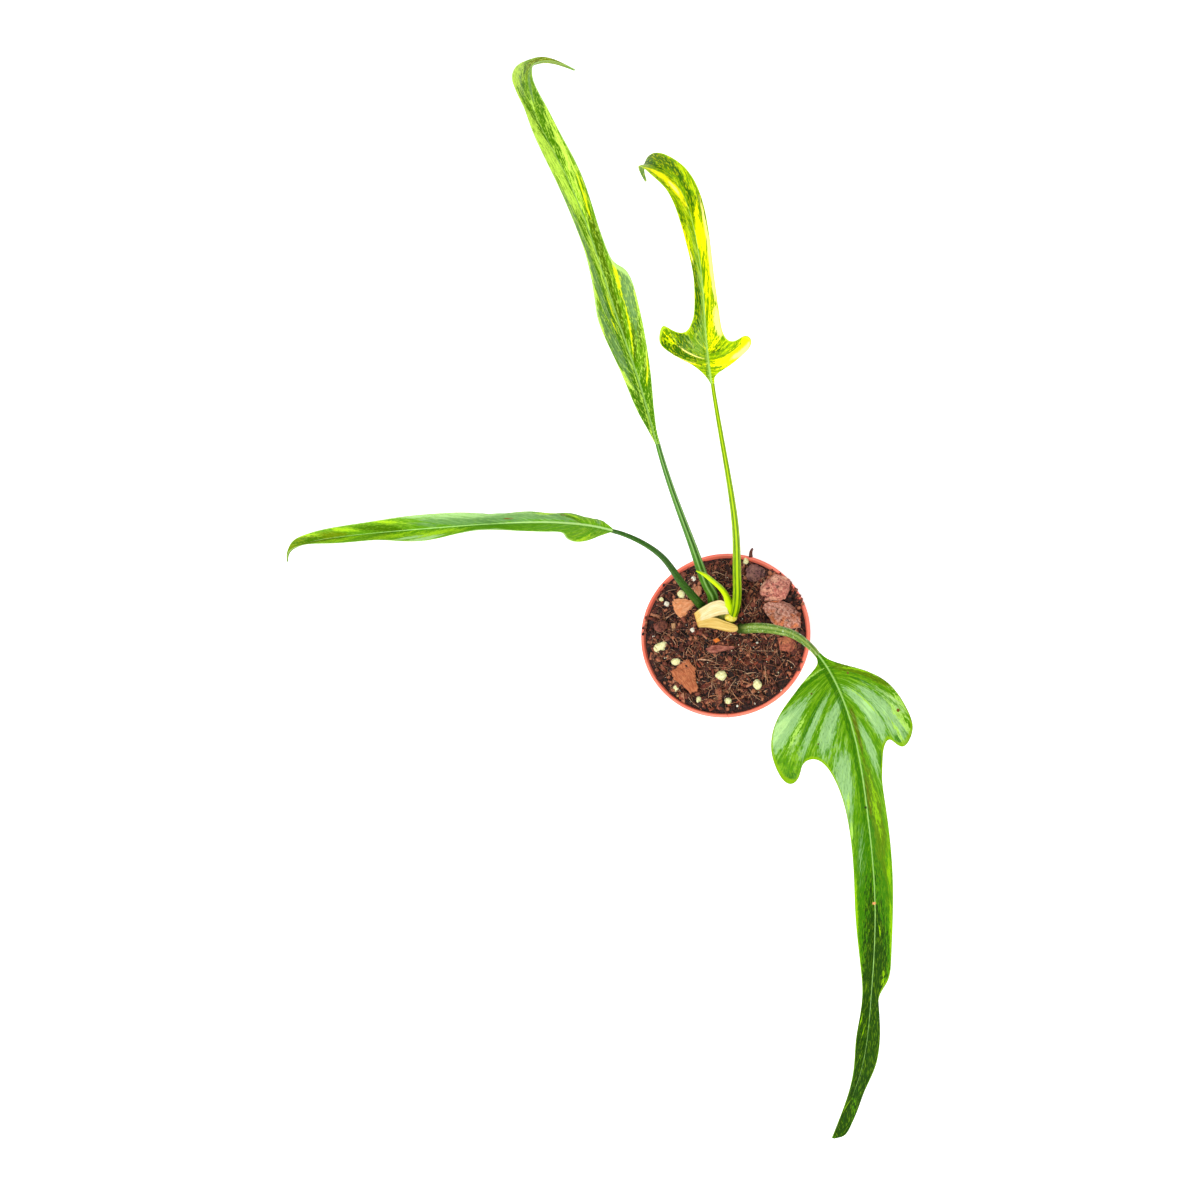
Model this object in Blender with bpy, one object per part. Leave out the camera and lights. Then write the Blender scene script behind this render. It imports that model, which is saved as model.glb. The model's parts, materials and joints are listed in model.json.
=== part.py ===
"""Potted philodendron: strap leaves with small basal lobes, in a plastic nursery pot.

Design values are in millimetres and become metres when a mesh is made. +Z is up, and the
origin is the middle of the pot's underside.
"""
import math

import bmesh
import bpy
import numpy as np
from mathutils import Vector, noise

MM = 0.001
GAP = 0.3                 # air between pieces that touch
SEAT_GAP = 0.35           # air round a loose piece in its seat in the soil
SOIL_GAP = 0.4            # air between the soil and the pot's wall

# Pot
RIM_RADIUS = 45.0
LIP_TAPER = 1.2           # the lip's skirt draws in below the rim
LIP_FLAT = 1.6            # flat ring on top of the lip
POT_HEIGHT = 70.0
BASE_RADIUS = 29.0
WALL = 1.1
LIP_WIDTH = 2.6           # how far the lip stands out from the wall
LIP_DROP = 5.0
HUB_RADIUS = 12.0         # flat disc in the middle of the underside
CHANNEL_RADIUS = 24.0     # outer edge of the raised ring with the drain holes
CHANNEL_HEIGHT = 2.5
DRAIN_HOLES = 6
DRAIN_RADIUS = 3.0
POT_SEGMENTS = 48

# Soil
SOIL_TOP = 68.8
SOIL_BRIM = 69.2          # the soil's edge, just below the lip
SOIL_FLOOR = 4.2
SOIL_RINGS = 8

# Crown
STEM_RADIUS = 4.6
STEM_ENDS = ((-11.0, 16.5, 68.5), (9.0, 2.5, 68.5))
ROOT_RADIUS = 3.6
ROOT_FOOT = (-1.0, 9.0, 34.0)

# Blades
BLADE_THICKNESS = 0.8
BLADE_ROWS = 40
HALF_COLUMNS = 4
RIB_HEIGHT = 1.0          # how much thicker the midrib is at the stalk
RIB_WIDTH = 1.3

# Each leaf has one axis from the crown to its tip. The blade starts at point number "joint".
# facing: place along the blade from 0 to 1, then the direction that its upper face looks in.
# fold: place, then left and right rise of the halves (degrees), left and right down-curl
# (degrees per 10 mm). hook: where along the midrib the veins of the basal lobes leave.
# veins: where a pair of side veins leaves the midrib, then where it meets the left margin
# (along, across) and the right margin (along, across).
LEAVES = {
    "tall": {
        "axis": ((-5.5, 13.5, 69), (-4.6, 17.8, 76), (-5.5, 20.5, 90), (-6.5, 23.5, 110), (-7.3, 28, 130),
                 (-9, 35, 160), (-10.5, 42, 184), (-11.5, 49.5, 205), (-14, 65.5, 231), (-18.5, 83, 255),
                 (-23.5, 103, 271), (-31.5, 127.5, 282), (-41, 149, 286), (-49, 172, 283), (-52, 186, 278),
                 (-51, 198.5, 270), (-46.5, 206, 262), (-38, 211, 250)),
        "joint": 7,
        "stalk": (3.1, 2.3, 1.6, 1.1),
        "facing": ((0, 0.1, -0.75, 0.6), (0.4, 0.1, -0.45, 0.9), (0.8, 0.1, -0.1, 1), (1, 0.3, 0.5, 1)),
        "fold": ((0, 48, 48, 0, 0), (0.2, 42, 42, 4, 4), (0.5, 40, 40, 4, 4), (1, 35, 35, 4, 4)),
        "hook": 44,
        "veins": ((0, 0, 1.1, 0, 1.1), (5, 10, 3.4, 8, 1.9), (10, 19, 5.6, 18, 3.6), (16, 28, 6.8, 28, 5.8),
                  (22, 36, 7.3, 38, 8), (28, 46, 8.2, 48, 10), (34, 55, 9.2, 57, 11.6), (39, 62, 9.6, 65, 12.6),
                  (44, 66, 9, 71, 12.8), (49, 71, 7.8, 76, 11.6), (54, 76, 6.7, 79, 8.4), (61, 81, 6, 82, 6.2),
                  (70, 88, 5.4, 88, 5.4), (84, 100, 5.6, 99, 5.6), (100, 115, 6, 114, 6.2), (116, 130, 5.4, 129, 6.5),
                  (130, 143, 4.6, 142, 6), (144, 155, 4.4, 154, 5), (158, 168, 5.6, 167, 4.4),
                  (170, 178, 5.2, 178, 4.4), (182, 188, 3.4, 188, 3.2), (192, 196, 1.6, 196, 1.6),
                  (204, 206, 1, 206, 1), (220.6, 220.8, 0.5, 220.8, 0.5)),
    },
    "young": {
        "axis": ((4.6, 6.2, 69), (7.2, 9.2, 75), (9, 12.5, 88), (11.5, 19, 109), (15, 31, 146), (15.5, 38.5, 164),
                 (15, 52, 189), (14, 70, 215), (14.5, 83, 236), (15, 98.5, 248), (13.5, 116, 255),
                 (9.5, 133.5, 256), (2, 149.5, 252), (-5, 158.5, 247), (-9.3, 163, 240.5), (-10.8, 164.5, 234),
                 (-10.6, 164.4, 228)),
        "joint": 7,
        "stalk": (2.2, 1.7, 1.25, 0.8),
        "facing": ((0, 0, -0.8, 0.6), (0.4, 0, -0.4, 0.9), (0.8, -0.1, -0.1, 1), (0.9, -0.3, 0.3, 1),
                   (1, -0.75, 0.65, 0.2)),
        "fold": ((0, 35, 35, 5, 5), (0.5, 32, 32, 5, 5), (1, 35, 35, 5, 5)),
        "hook": 14,
        "veins": ((0, 0, 0.8, 0, 0.8), (3, 4, 2.4, 4, 2.2), (5.5, 8.5, 5, 8, 6.2), (7.5, 13, 8.6, 12.5, 11.6),
                  (9, 16.5, 12.6, 17, 16.6), (10, 20, 16.6, 20, 19.8), (11, 23, 19.8, 22.5, 21.2),
                  (12, 26, 20.6, 24.2, 20.4), (13.4, 29.4, 19, 24.4, 18), (15, 28.8, 16.4, 23, 15.2),
                  (16.8, 26.8, 13, 22, 12.2), (18.8, 26.2, 9.4, 23, 9.5), (21.4, 28, 7, 26, 7.9),
                  (25, 32, 5.1, 30, 7.3), (31, 39, 4.2, 38, 6.4), (41, 48, 3.9, 48, 5.8), (52, 59, 4.8, 60, 6.3),
                  (66, 73, 5.5, 74, 7.2), (80, 87, 5.8, 87, 7.2), (92, 98, 6.4, 98, 6.2), (104, 109, 5.6, 109, 5),
                  (114, 118, 4.2, 118, 4), (123, 126, 2.6, 126, 2.6), (132.6, 132.8, 0.5, 132.8, 0.5)),
    },
    "left": {
        "axis": ((-9.6, 14.6, 69), (-11.2, 14.8, 75), (-12.5, 15.4, 82), (-15, 17, 94), (-17.5, 19, 107),
                 (-19.7, 21.5, 120), (-22.7, 24, 132), (-27, 26, 141), (-33.5, 28.5, 148), (-42.5, 31.5, 152),
                 (-63, 35.5, 156), (-90.5, 38, 156), (-126.5, 42, 148), (-169.5, 48, 133), (-206.5, 53.5, 117),
                 (-228.5, 55.5, 106.5), (-242.5, 52.5, 97.5), (-244.2, 50.4, 94.5)),
        "joint": 9,
        "stalk": (1.9, 1.6, 1.25, 0.95),
        "facing": ((0, 0.2, -0.2, 1), (0.5, 0, -0.2, 1), (0.85, -0.2, -0.1, 1), (1, -0.5, 0.15, 0.85)),
        "fold": ((0, 45, -15, 6, 90), (0.05, 46, -10, 6, 110), (0.13, 48, -5, 4, 70), (0.28, 60, 60, 2, 0),
                 (0.45, 40, 58, 2, 0), (0.62, 54, 58, 2, 0), (0.8, 55, 52, 2, 0), (1, 60, 40, 2, 0)),
        "hook": 11,
        "veins": ((0, 0, 1, 0, 1), (1.6, 3.5, 4.6, 3.5, 3.6), (3.4, 7, 8.4, 7, 6.6), (5, 10, 11.2, 10, 9.2),
                  (6.6, 13.4, 13, 13.4, 11), (8.2, 17, 13.4, 17, 11.6), (10, 19.8, 12.2, 20.4, 10.8),
                  (12, 21.4, 10.2, 23, 8.4), (15, 23.4, 8, 26, 6.8), (20, 28, 7.8, 31, 5.8), (28, 37, 8.2, 40, 6),
                  (43, 53, 8.2, 54, 7.6), (58, 68, 7.6, 69, 9), (76, 86, 8.8, 88, 10.4), (96, 106, 9.4, 107, 10),
                  (116, 125, 8.4, 126, 9.4), (136, 144, 8.2, 145, 8.4), (154, 162, 7.8, 163, 7.3),
                  (170, 177, 6, 178, 6.4), (184, 190, 4, 190, 5.4), (198, 202, 2.2, 202, 4.2),
                  (208, 210, 1.1, 210, 2), (218, 218.4, 0.5, 218.4, 0.5)),
    },
    "broad": {
        "axis": ((6.4, 3.6, 69), (9.6, 1, 74.5), (15.5, -1.2, 82), (24, -4.5, 92), (31, -8.4, 100.5),
                 (37.5, -12.6, 107.5), (43.5, -18.6, 113.5), (49, -26, 118), (62, -59.5, 122), (66.5, -96, 113),
                 (67.5, -140, 90), (63, -182, 62), (56, -216, 42), (40, -249, 26)),
        "joint": 7,
        "stalk": (2.2, 2.1, 1.8, 1.4),
        "facing": ((0, 0, 0, 1), (0.5, 0, -0.3, 1), (0.8, 0.1, -0.3, 1), (0.92, 0.45, -0.3, 0.9),
                   (1, 0.6, -0.3, 0.8)),
        "fold": ((0, 22, 18, 16, 6), (0.25, 16, 14, 12, 6), (0.6, 18, 18, 6, 6), (0.8, 24, 26, 6, 6),
                 (1, 30, 34, 6, 6)),
        "hook": 23,
        "veins": ((0, 0, 1.4, 0, 1.4), (3, 5, 2.6, 4, 2.8), (6, 11, 7, 7, 6.8), (8, 17, 13.8, 10.6, 13.6),
                  (9.5, 22.6, 19.8, 15, 20.4), (11, 29, 23.8, 21, 28.2), (12.5, 37, 26.2, 29, 34.6),
                  (14, 43.6, 26.6, 39, 38.2), (16, 48, 24, 48.6, 38), (18.5, 50, 20.4, 57, 34.6),
                  (21.5, 48.6, 17.6, 60, 31.4), (25, 47.4, 15, 57, 28.2), (29.5, 48.8, 12.6, 51.6, 25.6),
                  (35, 52.6, 10.8, 50, 20.6), (42, 58.6, 9.4, 54, 15.8), (52, 66, 8.4, 63, 12.2),
                  (66, 80, 8.6, 78, 9.6), (88, 102, 8.7, 101, 9.1), (112, 125, 8.2, 124, 9.4),
                  (134, 146, 8.1, 144, 7.8), (150, 161, 7.5, 160, 5.6), (163, 172, 3.9, 172, 4.4),
                  (176, 184, 5, 184, 4.9), (190, 197, 6.2, 197, 5.9), (204, 210, 6, 210, 5), (218, 223, 4.6, 223, 4),
                  (230, 234, 4.9, 234, 3.6), (240, 244, 5.2, 244, 3), (248, 250.4, 4.6, 250.4, 2),
                  (254.4, 254.6, 0.8, 254.6, 0.5)),
    },
}

# New leaf spear: axis and radii from its base to its tip
SHOOT_AXIS = ((1.4, 9.2, 70), (2.8, 10.4, 75), (4.1, 12.4, 84), (3.2, 14.8, 95), (0.4, 16.9, 104),
              (-2.7, 18.3, 112), (-6.5, 19.1, 120))
SHOOT_RADII = (1.7, 1.8, 1.6, 0.5)

# Dry sheath: five lines along it, from its upper edge over the crease to its lower edge
SHEATH_LINES = (
    ((-15.6, 9.2, 79), (-10.2, 13.6, 81.5), (-4.6, 15, 83.2), (0.6, 14.6, 83.8)),
    ((-14.6, 6.6, 77.6), (-9.4, 10.2, 79.2), (-4.2, 11.4, 80), (1, 11, 80.2)),
    ((-13.4, 3, 75.8), (-8.4, 6, 76), (-3.4, 7, 75.8), (1.2, 6.4, 75.4)),
    ((-12.2, 1.6, 75), (-6.8, 3.4, 75.2), (-1, 3.4, 75.4), (5, 1.4, 76)),
    ((-11, 0.4, 73.4), (-5.4, 0.8, 73.4), (0.6, 0, 73.6), (6.4, -1.8, 74.2)),
)
SHEATH_THICKNESS = 0.7

# Loose pieces in the soil: name, centre x and y, half sizes x, y and z, turn (degrees)
LUMPS = (
    ("lava_back", 28.5, 22.4, 7.8, 6.9, 4.8, 10, "lava_plum"),
    ("lava_side", 31.2, 7.0, 9.8, 6.4, 4.6, -32, "lava_brown"),
    ("lava_small", 32.6, -7.4, 4.2, 4.7, 2.9, 10, "lava_brown"),
    ("bark_purple", 17.4, 32.8, 4.7, 4.4, 2.6, 0, "lava_plum"),
    ("seed_husk", -34.0, 5.9, 3.8, 2.8, 2.0, 30, "bark_dark"),
    ("perlite_1", -15.5, 31.5, 1.5, 1.4, 1.3, 0, "perlite"),
    ("perlite_2", -22.5, 23.5, 2.2, 2.4, 1.9, 0, "perlite"),
    ("perlite_3", -30.5, 18.5, 1.5, 1.4, 1.3, 0, "perlite"),
    ("perlite_4", -33.4, 21.0, 1.3, 1.2, 1.1, 0, "perlite"),
    ("perlite_5", -16.8, 3.0, 1.3, 1.3, 1.1, 0, "perlite"),
    ("perlite_6", -34.5, -5.0, 3.8, 2.6, 1.9, 30, "perlite"),
    ("perlite_7", -26.0, -13.6, 2.4, 1.9, 1.6, 0, "perlite"),
    ("perlite_8", -2.2, -22.6, 3.0, 2.9, 2.1, 0, "perlite"),
    ("perlite_9", 16.5, -28.5, 2.1, 2.7, 1.8, 0, "perlite"),
    ("perlite_10", -26.6, -28.4, 1.6, 1.6, 1.3, 0, "perlite"),
    ("perlite_11", -14.7, -34.8, 1.3, 1.7, 1.2, 0, "perlite"),
    ("perlite_12", 0.8, -36.3, 1.7, 1.7, 1.3, 0, "perlite"),
    ("perlite_13", 12.6, 38.6, 1.5, 1.8, 1.5, 0, "perlite"),
)
# Flat chips: name, centre x and y, half thickness, tilt about x and y (degrees), finish, outline
CHIPS = (
    ("chip_tan", -22.6, 14.8, 0.9, 6, -8, "bark_tan", ((-5.6, 3.7), (-4, -2.6), (-0.4, -6), (5.9, 1.8), (4.9, 5.3))),
    ("chip_round", -13.4, 24.6, 0.8, 8, 4, "bark_tan",
     ((-2.3, 0.8), (-1.7, -2.4), (0.4, -3.2), (2.2, -1.2), (2, 2), (0, 3.2))),
    ("chip_rust", -21, -21.6, 0.9, -5, 6, "bark_rust",
     ((-6.8, 3.7), (-1, -3.4), (3.7, -8.9), (6.3, -8.7), (5.3, 1), (1.8, 7.9))),
    ("chip_long", -1.5, -7.8, 0.9, 3, 4, "bark_dark",
     ((-7, 1), (-6, -1.2), (0, -2.1), (6.6, -1.4), (7, 0.6), (1, 2))),
    ("chip_orange", -4.2, -3.4, 0.7, 0, 0, "bark_orange", ((-2.1, 0.3), (-0.6, -1.3), (2.1, -0.6), (0.8, 1.3))),
    ("chip_red", -3.4, -32.6, 0.7, 4, 0, "bark_rust", ((-1.3, 3.4), (-0.9, -3.7), (1, -3.2), (1.3, 3))),
    ("sliver_tan", -27.2, 5.4, 0.7, 0, 6, "bark_tan", ((-1.3, 2.2), (-0.9, -2.5), (1, -2), (1.2, 2.5))),
    ("straw", -23, -32, 0.6, 0, 0, "bark_tan", ((-3.4, 0.3), (-3.2, -0.9), (3.4, -0.3), (3.2, 0.9))),
)

# Finish of each piece: colour, roughness
FINISHES = {
    "pot_plastic": ((0.80, 0.18, 0.10), 0.45),
    "soil": ((0.055, 0.022, 0.014), 0.95),
    "stem_green": ((0.24, 0.26, 0.05), 0.5),
    "leaf_tall": ((0.08, 0.22, 0.03), 0.35),
    "leaf_young": ((0.35, 0.50, 0.03), 0.35),
    "leaf_left": ((0.07, 0.20, 0.04), 0.35),
    "leaf_broad": ((0.08, 0.24, 0.03), 0.35),
    "stalk_dark": ((0.06, 0.16, 0.03), 0.4),
    "stalk_lime": ((0.40, 0.52, 0.02), 0.4),
    "sheath_paper": ((0.80, 0.66, 0.38), 0.7),
    "lava_plum": ((0.13, 0.04, 0.05), 0.95),
    "lava_brown": ((0.20, 0.06, 0.03), 0.95),
    "bark_tan": ((0.50, 0.25, 0.11), 0.85),
    "bark_rust": ((0.30, 0.09, 0.03), 0.85),
    "bark_dark": ((0.14, 0.05, 0.02), 0.85),
    "bark_orange": ((0.85, 0.22, 0.03), 0.8),
    "perlite": ((0.86, 0.84, 0.74), 0.9),
}
STALK_FINISH = {"tall": "stalk_dark", "young": "stalk_lime", "left": "stalk_dark", "broad": "stalk_dark"}


def clear_scene():
    for old in list(bpy.data.objects):
        bpy.data.objects.remove(old, do_unlink=True)


def make_material(node, finish):
    colour, roughness = FINISHES[finish]
    material = bpy.data.materials.new(node + "_finish")
    material.use_nodes = True
    shader = material.node_tree.nodes["Principled BSDF"]
    shader.inputs["Base Color"].default_value = (*colour, 1.0)
    shader.inputs["Roughness"].default_value = roughness
    shader.inputs["Metallic"].default_value = 0.0
    material.diffuse_color = (*colour, 1.0)
    return material


def make_object(name, points, faces, finish=None):
    """Mesh object from points in millimetres."""
    mesh = bpy.data.meshes.new(name)
    mesh.from_pydata((np.asarray(points) * MM).tolist(), [], [tuple(face) for face in faces])
    mesh.validate()
    piece = bpy.data.objects.new(name, mesh)
    bpy.context.scene.collection.objects.link(piece)
    if finish:
        mesh.materials.append(make_material(name, finish))
        mesh.shade_smooth()
        mesh.set_sharp_from_angle(angle=math.radians(40))
    return piece


def apply_boolean(piece, tools, operation):
    """Cut or join a list of tool objects into a piece, then remove them."""
    group = bpy.data.collections.new(piece.name + "_tools")
    bpy.context.scene.collection.children.link(group)
    for tool in tools:
        group.objects.link(tool)
        tool.hide_render = True
        tool.display_type = "WIRE"
    step = piece.modifiers.new(operation.lower(), "BOOLEAN")
    step.operation = operation
    step.solver = "EXACT"
    step.operand_type = "COLLECTION"
    step.collection = group
    evaluated = piece.evaluated_get(bpy.context.evaluated_depsgraph_get())
    result = bpy.data.meshes.new_from_object(evaluated)
    piece.modifiers.clear()
    piece.data = result
    for tool in tools:
        bpy.data.objects.remove(tool, do_unlink=True)
    bpy.data.collections.remove(group)


def unit(vectors):
    return vectors / np.linalg.norm(vectors, axis=-1, keepdims=True)


def spline(knots, values, places):
    """Natural cubic spline through values at knots, read at places."""
    knots = np.asarray(knots, float)
    values = np.asarray(values, float)
    last = len(knots) - 1
    step = np.diff(knots)
    slope = np.diff(values, axis=0) / step[:, None]
    inner = np.arange(1, last)
    system = np.eye(last + 1)
    system[inner, inner - 1] = step[:-1]
    system[inner, inner] = 2 * (step[:-1] + step[1:])
    system[inner, inner + 1] = step[1:]
    change = np.zeros_like(values)
    change[1:-1] = 6 * np.diff(slope, axis=0)
    bend = np.linalg.solve(system, change)
    places = np.asarray(places, float)
    low = np.clip(np.searchsorted(knots, places, side="right") - 1, 0, last - 1)
    width = step[low][..., None]
    after = (places - knots[low])[..., None]
    before = width - after
    cubic = (bend[low] * before ** 3 + bend[low + 1] * after ** 3) / (6 * width)
    start = (values[low] / width - bend[low] * width / 6) * before
    end = (values[low + 1] / width - bend[low + 1] * width / 6) * after
    return cubic + start + end


def eased(knots, values, places):
    """Values at places, easing in and out between the knots, with no overshoot."""
    knots = np.asarray(knots, float)
    values = np.asarray(values, float)
    low = np.clip(np.searchsorted(knots, places, side="right") - 1, 0, len(knots) - 2)
    share = np.clip((places - knots[low]) / (knots[low + 1] - knots[low]), 0, 1)[..., None]
    return values[low] + (values[low + 1] - values[low]) * share ** 2 * (3 - 2 * share)


class Path:
    """Smooth curve through points, read by its length."""

    def __init__(self, points, samples=800):
        points = np.asarray(points, float)
        chord = np.concatenate([[0], np.cumsum(np.linalg.norm(np.diff(points, axis=0), axis=1))])
        self.points = spline(chord, points, np.linspace(0, chord[-1], samples))
        steps = np.linalg.norm(np.diff(self.points, axis=0), axis=1)
        self.lengths = np.concatenate([[0], np.cumsum(steps)])
        self.knots = np.interp(chord, np.linspace(0, chord[-1], samples), self.lengths)
        self.total = self.lengths[-1]
        self.tangents = unit(np.gradient(self.points, self.lengths, axis=0))

    def read(self, table, at):
        return np.stack([np.interp(at, self.lengths, table[:, k]) for k in range(3)], axis=-1)


def closed_sheet(middle, thickness):
    """Points and faces of a thick sheet round a grid of middle points.

    Both faces use the same diagonals, so a waved sheet never crosses itself.
    """
    rows, columns = middle.shape[:2]
    along = np.gradient(middle, axis=0)
    across = np.gradient(middle, axis=1)
    normals = unit(np.cross(across, along))
    shift = normals * (np.broadcast_to(thickness, (rows, columns)) / 2)[..., None]
    points = np.concatenate([(middle + shift).reshape(-1, 3), (middle - shift).reshape(-1, 3)])
    index = np.arange(rows * columns).reshape(rows, columns)
    a, b = index[:-1, :-1].ravel(), index[:-1, 1:].ravel()
    c, d = index[1:, 1:].ravel(), index[1:, :-1].ravel()
    top = np.concatenate([np.stack([a, b, c], 1), np.stack([a, c, d], 1)])
    under = top[:, ::-1] + rows * columns
    edge = np.concatenate([index[0, :], index[1:, -1], index[-1, -2::-1], index[-2:0:-1, 0]])
    after = np.roll(edge, -1)
    low = rows * columns
    rim = np.concatenate([np.stack([edge, edge + low, after + low], 1), np.stack([edge, after + low, after], 1)])
    return points, np.concatenate([top, under, rim])


def tube(path, start, end, radii, rings, sides=8):
    """Points and faces of a round rod along a stretch of a path, with flat ends."""
    at = np.linspace(start, end, rings)
    centres = path.read(path.points, at)
    tangents = unit(path.read(path.tangents, at))
    side = unit(np.cross(tangents, (0.37, -0.61, 0.12)))
    other = np.cross(tangents, side)
    radius = spline(np.linspace(0, 1, len(radii)), np.asarray(radii)[:, None], np.linspace(0, 1, rings))
    angle = np.linspace(0, 2 * math.pi, sides, endpoint=False)[None, :, None]
    around = side[:, None] * np.cos(angle) + other[:, None] * np.sin(angle)
    points = centres[:, None] + around * radius[:, None]
    index = np.arange(rings * sides).reshape(rings, sides)
    after = np.roll(index, -1, axis=1)
    walls = np.stack([index[:-1], after[:-1], after[1:], index[1:]], axis=-1).reshape(-1, 4)
    faces = [tuple(wall) for wall in walls]
    faces.append(tuple(index[0, ::-1]))
    faces.append(tuple(index[-1]))
    return points.reshape(-1, 3), faces


def lathe(name, profile, segments, finish=None):
    """Turn a closed profile (radius, height), listed from the lower axis point outwards and up."""
    mesh = bmesh.new()
    corners = [mesh.verts.new(Vector((radius, 0, height)) * MM) for radius, height in profile]
    edges = [mesh.edges.new(pair) for pair in zip(corners[:-1], corners[1:])]
    bmesh.ops.spin(mesh, geom=corners + edges, cent=(0, 0, 0), axis=(0, 0, 1), angle=2 * math.pi,
                   steps=segments, use_duplicate=False)
    bmesh.ops.remove_doubles(mesh, verts=mesh.verts, dist=0.00001)
    bmesh.ops.recalc_face_normals(mesh, faces=mesh.faces)
    piece = make_object(name, np.zeros((0, 3)), [], finish)
    mesh.to_mesh(piece.data)
    mesh.free()
    if finish:
        piece.data.shade_smooth()
        piece.data.set_sharp_from_angle(angle=math.radians(40))
    return piece


def inner_radius(height):
    """Radius of the pot's inner wall at a height."""
    rise = (height - CHANNEL_HEIGHT) / (POT_HEIGHT - LIP_DROP - CHANNEL_HEIGHT)
    return BASE_RADIUS - WALL + (RIM_RADIUS - LIP_WIDTH - WALL - BASE_RADIUS + WALL) * rise


def mouth_radius(height):
    """Radius of the lip's sloping inner face at a height."""
    wall_top = POT_HEIGHT - LIP_DROP
    share = (height - wall_top) / LIP_DROP
    return inner_radius(wall_top) + (RIM_RADIUS - LIP_FLAT - inner_radius(wall_top)) * share


def make_pot():
    wall_top = POT_HEIGHT - LIP_DROP
    channel_top = CHANNEL_HEIGHT + WALL
    mouth = RIM_RADIUS - LIP_FLAT
    profile = (
        (0, 0), (HUB_RADIUS, 0), (HUB_RADIUS + 1, CHANNEL_HEIGHT), (CHANNEL_RADIUS, CHANNEL_HEIGHT),
        (CHANNEL_RADIUS + 1, 0), (BASE_RADIUS, 0), (inner_radius(wall_top) + WALL, wall_top),
        (RIM_RADIUS - LIP_TAPER, wall_top), (RIM_RADIUS, POT_HEIGHT - 0.7), (RIM_RADIUS - 0.6, POT_HEIGHT),
        (mouth, POT_HEIGHT), (mouth_radius(SOIL_BRIM), SOIL_BRIM), (inner_radius(wall_top), wall_top),
        (inner_radius(channel_top), channel_top), (inner_radius(0) - 0.4, WALL), (CHANNEL_RADIUS + 2, WALL),
        (CHANNEL_RADIUS + 1, channel_top), (HUB_RADIUS, channel_top), (HUB_RADIUS - 1, WALL), (0, WALL),
    )
    pot = lathe("pot", profile, POT_SEGMENTS, "pot_plastic")
    ring = (HUB_RADIUS + 1 + CHANNEL_RADIUS) / 2
    drills = []
    for number in range(DRAIN_HOLES):
        turn = 2 * math.pi * (number + 0.5) / DRAIN_HOLES
        bpy.ops.mesh.primitive_cylinder_add(vertices=16, radius=DRAIN_RADIUS * MM, depth=4 * WALL * MM)
        drill = bpy.context.object
        drill.location = Vector((ring * math.cos(turn), ring * math.sin(turn), CHANNEL_HEIGHT + WALL / 2)) * MM
        drills.append(drill)
    bpy.context.view_layer.update()
    apply_boolean(pot, drills, "DIFFERENCE")
    pot.data.set_sharp_from_angle(angle=math.radians(40))
    return pot


def soil_height(x, y):
    """Clods: a few slow waves over the nearly flat top."""
    clods = 0.55 * np.sin(0.31 * x + 1.0) * np.sin(0.27 * y - 0.6) + 0.35 * np.sin(0.62 * x - 0.41 * y)
    return SOIL_TOP + clods + 0.25 * np.sin(0.9 * y + 0.5 * x)


def make_soil():
    """Plug with a clumpy top that fills the pot, clear of its wall."""
    wall_top = POT_HEIGHT - LIP_DROP
    edge = mouth_radius(SOIL_BRIM) - SOIL_GAP
    neck = inner_radius(wall_top) - SOIL_GAP
    foot = inner_radius(SOIL_FLOOR) - SOIL_GAP
    turn = np.linspace(0, 2 * math.pi, POT_SEGMENTS, endpoint=False)
    radii = np.linspace(0, edge, SOIL_RINGS + 1)[1:]
    x = radii[:, None] * np.cos(turn)
    y = radii[:, None] * np.sin(turn)
    z = soil_height(x, y)
    z[-1] = SOIL_BRIM
    rings = [np.stack([x, y, z], axis=-1).reshape(-1, 3)]
    for radius, height in ((neck, wall_top), (foot, SOIL_FLOOR)):
        rings.append(np.column_stack([radius * np.cos(turn), radius * np.sin(turn), np.full_like(turn, height)]))
    points = np.concatenate(rings + [[[0, 0, soil_height(0, 0)], [0, 0, SOIL_FLOOR]]])
    index = np.arange((SOIL_RINGS + 2) * POT_SEGMENTS).reshape(SOIL_RINGS + 2, POT_SEGMENTS)
    after = np.roll(index, -1, axis=1)
    walls = np.stack([index[:-1], index[1:], after[1:], after[:-1]], axis=-1).reshape(-1, 4)
    top, bottom = len(points) - 2, len(points) - 1
    faces = [tuple(wall) for wall in walls]
    faces += [(top, int(a), int(b)) for a, b in zip(index[0], after[0])]
    faces += [(bottom, int(b), int(a)) for a, b in zip(index[-1], after[-1])]
    return make_object("soil", points, faces, "soil")


def stem_rods(name, grow):
    """The lying stem and its standing root, grown outwards by a distance."""
    lying = Path([STEM_ENDS[0], np.mean(STEM_ENDS, axis=0) + (0, 0, 0.6), STEM_ENDS[1]])
    standing = Path([np.mean(STEM_ENDS, axis=0), ROOT_FOOT])
    girth = np.array((2.6, STEM_RADIUS, STEM_RADIUS * 0.92, STEM_RADIUS, STEM_RADIUS * 0.92, STEM_RADIUS, 2.8))
    stem = make_object(name, *tube(lying, -grow, lying.total + grow, girth + grow, 14, 12))
    root = make_object(name + "_root", *tube(standing, 0, standing.total + grow,
                                             np.array((ROOT_RADIUS, ROOT_RADIUS, 1.6)) + grow, 6, 12))
    return stem, root


def make_stem():
    stem, root = stem_rods("stem", 0)
    apply_boolean(stem, [root], "UNION")
    stem.data.materials.append(make_material("stem", "stem_green"))
    stem.data.shade_smooth()
    return stem


def stem_cutter():
    """A little larger than the stem, to cut what meets it."""
    cutter, root = stem_rods("stem_cutter", GAP)
    apply_boolean(cutter, [root], "UNION")
    return cutter


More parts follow.
